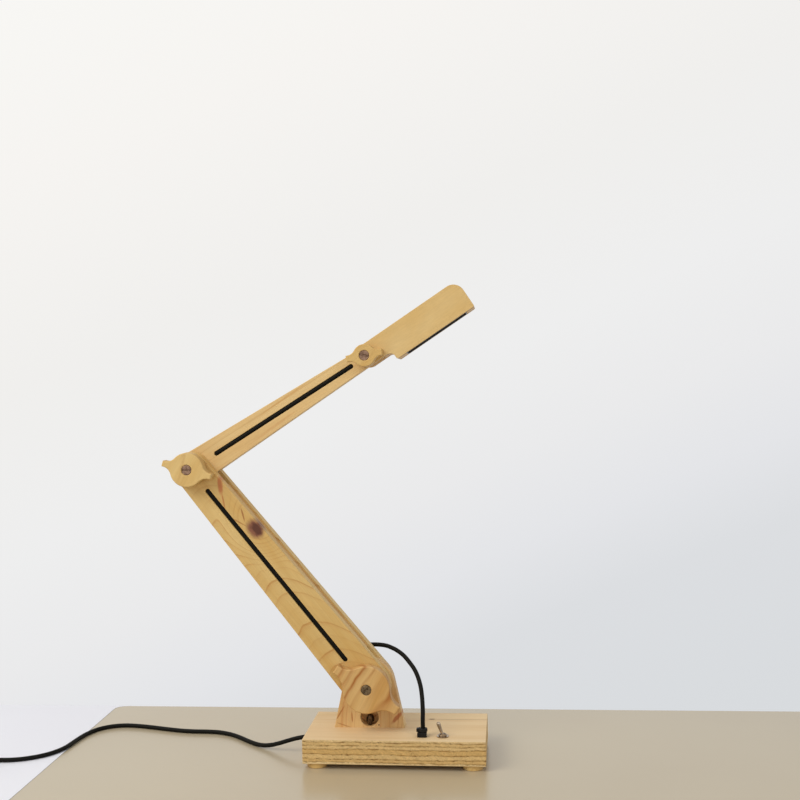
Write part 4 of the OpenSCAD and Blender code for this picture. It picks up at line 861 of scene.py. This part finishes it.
def sanded(node, width_mm, material, slot, corners=1.0):
    """A copy of a CAD node with its sharp edges rounded over, standing for that node. corners is
    how round its outline's corners are, as a share of the width."""
    mesh = frame["nodes"][node].data.copy()
    for left_over in [a for a in mesh.attributes if a.name == "custom_normal"]:
        mesh.attributes.remove(left_over)
    work = bmesh.new()
    work.from_mesh(mesh)
    bmesh.ops.remove_doubles(work, verts=work.verts, dist=MERGE_MM * MM)
    bmesh.ops.dissolve_limit(work, angle_limit=math.radians(FLAT_DEGREES), verts=work.verts,
                             edges=work.edges)
    for face in work.faces:
        face.smooth = True
    weight = work.edges.layers.float.new("bevel_weight_edge")
    for edge in work.edges:
        if len(edge.link_faces) == 2 and edge.calc_face_angle() > math.radians(SHARP_DEGREES):
            # the corners of a board's outline run through its thickness, along y
            along_y = abs((edge.verts[1].co - edge.verts[0].co).normalized().y) > 0.99
            edge[weight] = corners if along_y else 1.0
    work.to_mesh(mesh)
    work.free()
    seed = new_object(node + "_seed", mesh)
    bevel = seed.modifiers.new("sanded", "BEVEL")
    bevel.width, bevel.segments = width_mm * MM, 3
    bevel.limit_method = "WEIGHT"
    bevel.use_clamp_overlap = False
    flat = seed.modifiers.new("flat_faces_stay_flat", "WEIGHTED_NORMAL")
    flat.mode, flat.weight = "FACE_AREA", 100
    piece = worked_out(seed, "sanded_" + node)
    piece.data.materials.clear()
    piece.data.materials.append(material)
    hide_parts(node)
    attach(piece, body_of[node])
    print(node, len(piece.data.polygons), "faces")


print("edges over", SHARP_DEGREES, "degrees are sanded")

# %% Sand every board
boards = {
    "base_block": (0.6, base_plywood, "plywood"), "post": (0.5, post_pine, "pine"),
    "lower_arm_front": (0.5, lower_pine, "pine"), "lower_arm_back": (0.5, lower_back_pine, "pine"),
    "lower_arm_spacer": (0.3, spacer_pine, "pine"), "upper_arm": (0.5, upper_pine, "pine"),
    "head_front": (0.4, head_plywood, "light_plywood"),
    "head_back": (0.4, head_plywood, "light_plywood"), "head_core": (0.3, upper_pine, "pine"),
}
for node, (width, material, slot) in boards.items():
    sanded(node, width, material, slot)
for node, width in (("post_knob", 1.3), ("elbow_knob", 1.2), ("head_knob", 0.9)):
    sanded(node, width, knob_pines[node], "pine", corners=0.3)
for place in ("front_left", "front_right", "back_left", "back_right"):
    sanded("foot_" + place, 0.8, foot_pine, "pine")

# %% [markdown]
# ## Hardware
# The metal pieces keep the CAD shapes, with edges broken by a few tenths of a millimetre, so that
# they catch the light as turned and pressed metal does. The same function sands them, as a small
# bevel is all that tells a real screw head from a drawn one.

# %% Hardware with broken edges
hardware = {
    "post_screw": (0.35, dull_steel, "steel"), "elbow_screw": (0.35, screw_steel, "steel"),
    "head_screw": (0.35, screw_steel, "steel"), "post_cap_nut": (0.25, bolt_steel, "steel"),
    "post_nut": (0.3, nut_steel, "zinc_steel"), "elbow_nut": (0.3, nut_steel, "zinc_steel"),
    "head_nut": (0.3, nut_steel, "zinc_steel"), "switch_nut": (0.2, nickel, "zinc_steel"),
    "lead_gland": (0.5, nylon, "black_nylon"), "gland_tie": (0.35, nylon, "black_nylon"),
    "lamp_tray": (0.25, tray_black, "black_nylon"), "lens": (0.2, frosted, "frosted_acrylic"),
    "plug_body": (0.5, nylon, "black_pvc"),
}
for node, (width, material, slot) in hardware.items():
    sanded(node, width, material, slot)

# %% [markdown]
# The small and hidden pieces are right as the CAD model has them: nobody sees their edges. They
# keep their own shape, and only get a finish in place of the plain colour.

# %% CAD nodes that keep their own shape
plain = (
    (base_plywood, "base_cover"), (bolt_steel, "post_bolt"),
    (nut_steel, "cover_screws", "post_bolt_washer", "terminal_screws"),
    (nickel, "switch_bushing", "switch_washer", "switch_lever", "plug_shell"),
    (tin, "switch_terminals"), (red_phenolic, "switch_body", "thin_wires"),
    (nylon, "cord_stop_tie", "coil_tie"), (white_nylon, "terminal_block", "plug_tongue"),
    (pvc, "power_lead_inside", "lamp_lead_inside", "lower_arm_lead", "upper_arm_lead", "head_lead"),
    (board_white, "led_board"), (phosphor, "led_chips"),
)
for finish, *nodes in plain:
    for node in nodes:
        frame["nodes"][node].data.materials.clear()
        frame["nodes"][node].data.materials.append(finish)
print(sum(len(row) - 1 for row in plain), "CAD nodes keep their shape")

# %% [markdown]

# %% The power cord's points
print("power cord's points", len(power_route))

# %% [markdown]
# ## The table
# The lamp stands on a pale beige lacquered table. It ends behind the lamp and at the left, where
# its corner is rounded. Beyond it lies a white sheet, at the same height, that carries the cord's
# end and coil: the cord keeps to one level, as on a shelf, while in the photograph it drops over
# the edge. All are flat sheets, as only their tops are ever seen. The high IOR gives the lacquer
# its clear but soft mirror image of the base.

# %% The table
FAR = 3000


def lacquered(name, pale, warm, roughness):
    """Satin lacquer: an even colour with very faint broad clouds, and a soft sheen."""
    finish, tree, shader = new_finish(name, {"Roughness": roughness, "IOR": 1.75})
    place = add_node(tree, "ShaderNodeTexCoord").outputs["Object"]
    cloud = add_node(tree, "ShaderNodeTexNoise", {"Vector": place, "Scale": 3, "Detail": 3})
    dress(tree, shader, add_node(tree, "ShaderNodeValToRGB", (cloud,), ((0.3, pale), (0.7, warm))))
    return finish


def flat_sheet(name, outline_mm, finish):
    """A flat sheet at table height, which isn't part of the lamp."""
    mesh = bpy.data.meshes.new(name)
    mesh.from_pydata([(x * MM, y * MM, 0) for x, y in outline_mm], [], [range(len(outline_mm))])
    mesh.materials.append(finish)
    new_object(name, mesh)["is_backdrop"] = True


left_end = [(-329, -FAR), (-345, -138), (-352.5, 139), (-352.2, 145), (-349.8, 149.6),
            (-345, 152.6), (-337, 154)]
far_edge = [(-200, 155.5), (-60, 157), (60, 158), (FAR, 190)]
outer_line = [(x - 1, y + 0.3) for x, y in left_end]
flat_sheet("table", left_end + far_edge + [(FAR, -FAR)],
           lacquered("satin_table_top", "#bfb193", "#baab8d", 0.26))
flat_sheet("table_edge", outer_line + left_end[::-1],
           lacquered("table_edge_band", "#8f8a7c", "#86806f", 0.5))
flat_sheet("white_sheet", [(-FAR, -FAR)] + outer_line + [(-338, 154.4), (-FAR, 130)],
           lacquered("white_sheet", "#eeeef0", "#ebebee", 0.6))
print("the table's left corner is at", left_end[2], "mm")

# %% [markdown]
# ## The wall
# Behind the table is a white wall, a little brighter upwards and to the left, where the window
# is. It is the world's colour, seen only by the camera and by shiny and clear things, so it adds
# no light of its own; every other ray meets the even light of the room. So wall and light can be
# set apart from each other, as in a studio.

# %% The wall and the light of the room
world = bpy.data.worlds.new("room")
bpy.context.scene.world = world
world.use_nodes = True
world.node_tree.nodes.clear()
sky = world.node_tree
looking = add_node(sky, "ShaderNodeTexCoord").outputs["Generated"]
rightwards, _, upwards = add_node(sky, "ShaderNodeSeparateXYZ", (looking,)).outputs
# going left counts for 0.42 of going up
to_window = add_node(sky, "ShaderNodeMath", (rightwards, -0.42, upwards), operation="MULTIPLY_ADD")
to_window = add_node(sky, "ShaderNodeMapRange", (to_window, -0.4, 0.55, 0, 1))
wall = add_node(sky, "ShaderNodeValToRGB", (to_window,), (
    (0.03, "#d8dbde"), (0.19, "#dcdee1"), (0.27, "#e4e5e8"), (0.36, "#eaeaeb"),
    (0.47, "#eeeeee"), (0.63, "#f0efed"), (0.82, "#f6f4f1"), (0.97, "#f8f7f4")))
ray = add_node(sky, "ShaderNodeLightPath").outputs
seen = add_node(sky, "ShaderNodeMath", (ray["Is Camera Ray"], ray["Is Glossy Ray"]),
                operation="MAXIMUM")
seen = add_node(sky, "ShaderNodeMath", (seen, ray["Is Transmission Ray"]), operation="MAXIMUM")
room_light = add_node(sky, "ShaderNodeBackground", {"Color": "#f4f6ff", "Strength": 0.62})
wall_seen = add_node(sky, "ShaderNodeBackground", {"Color": wall, "Strength": 1.0})
either = add_node(sky, "ShaderNodeMixShader", (seen, room_light, wall_seen))
add_node(sky, "ShaderNodeOutputWorld", (either,))
print("world nodes", len(sky.nodes))

# %% [markdown]
# ## The light
# The photograph's light is soft and comes from a large window at the upper left, with a weak fill
# from the room at the right. Two square area lamps do this: a large one makes the wide soft
# shadows, and a dim cooler one opens them.

# %% The window and the fill
AIM = Vector((-0.05, 0, 0.2))


def soft_lamp(name, place, size, power, colour):
    """A square soft box that looks at the lamp."""
    light = bpy.data.lights.new(name, "AREA")
    light.size, light.energy, light.color = size, power, linear(colour)[:3]
    turn = (AIM - Vector(place)).to_track_quat("-Z", "Y").to_matrix().to_4x4()
    new_object(name, light).matrix_world = Matrix.Translation(Vector(place)) @ turn
    print(name, power, "W")


soft_lamp("window", (-1.5, -1.2, 1.9), 1.5, 34, "#fffaf2")
soft_lamp("room_fill", (1.6, -1.6, 1.0), 1.4, 7, "#f6f8ff")

# %% [markdown]
# ## Measure and finish
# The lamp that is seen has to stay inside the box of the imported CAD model, so both are measured.
# The colours are shown as they are, with the Standard view.

# %% Measure and finish
visual_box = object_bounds()
print("CAD box", [[round(c, 4) for c in v] for v in cad_box])
print("seen box", [[round(c, 4) for c in v] for v in visual_box])
bpy.context.scene.view_settings.view_transform = "Standard"
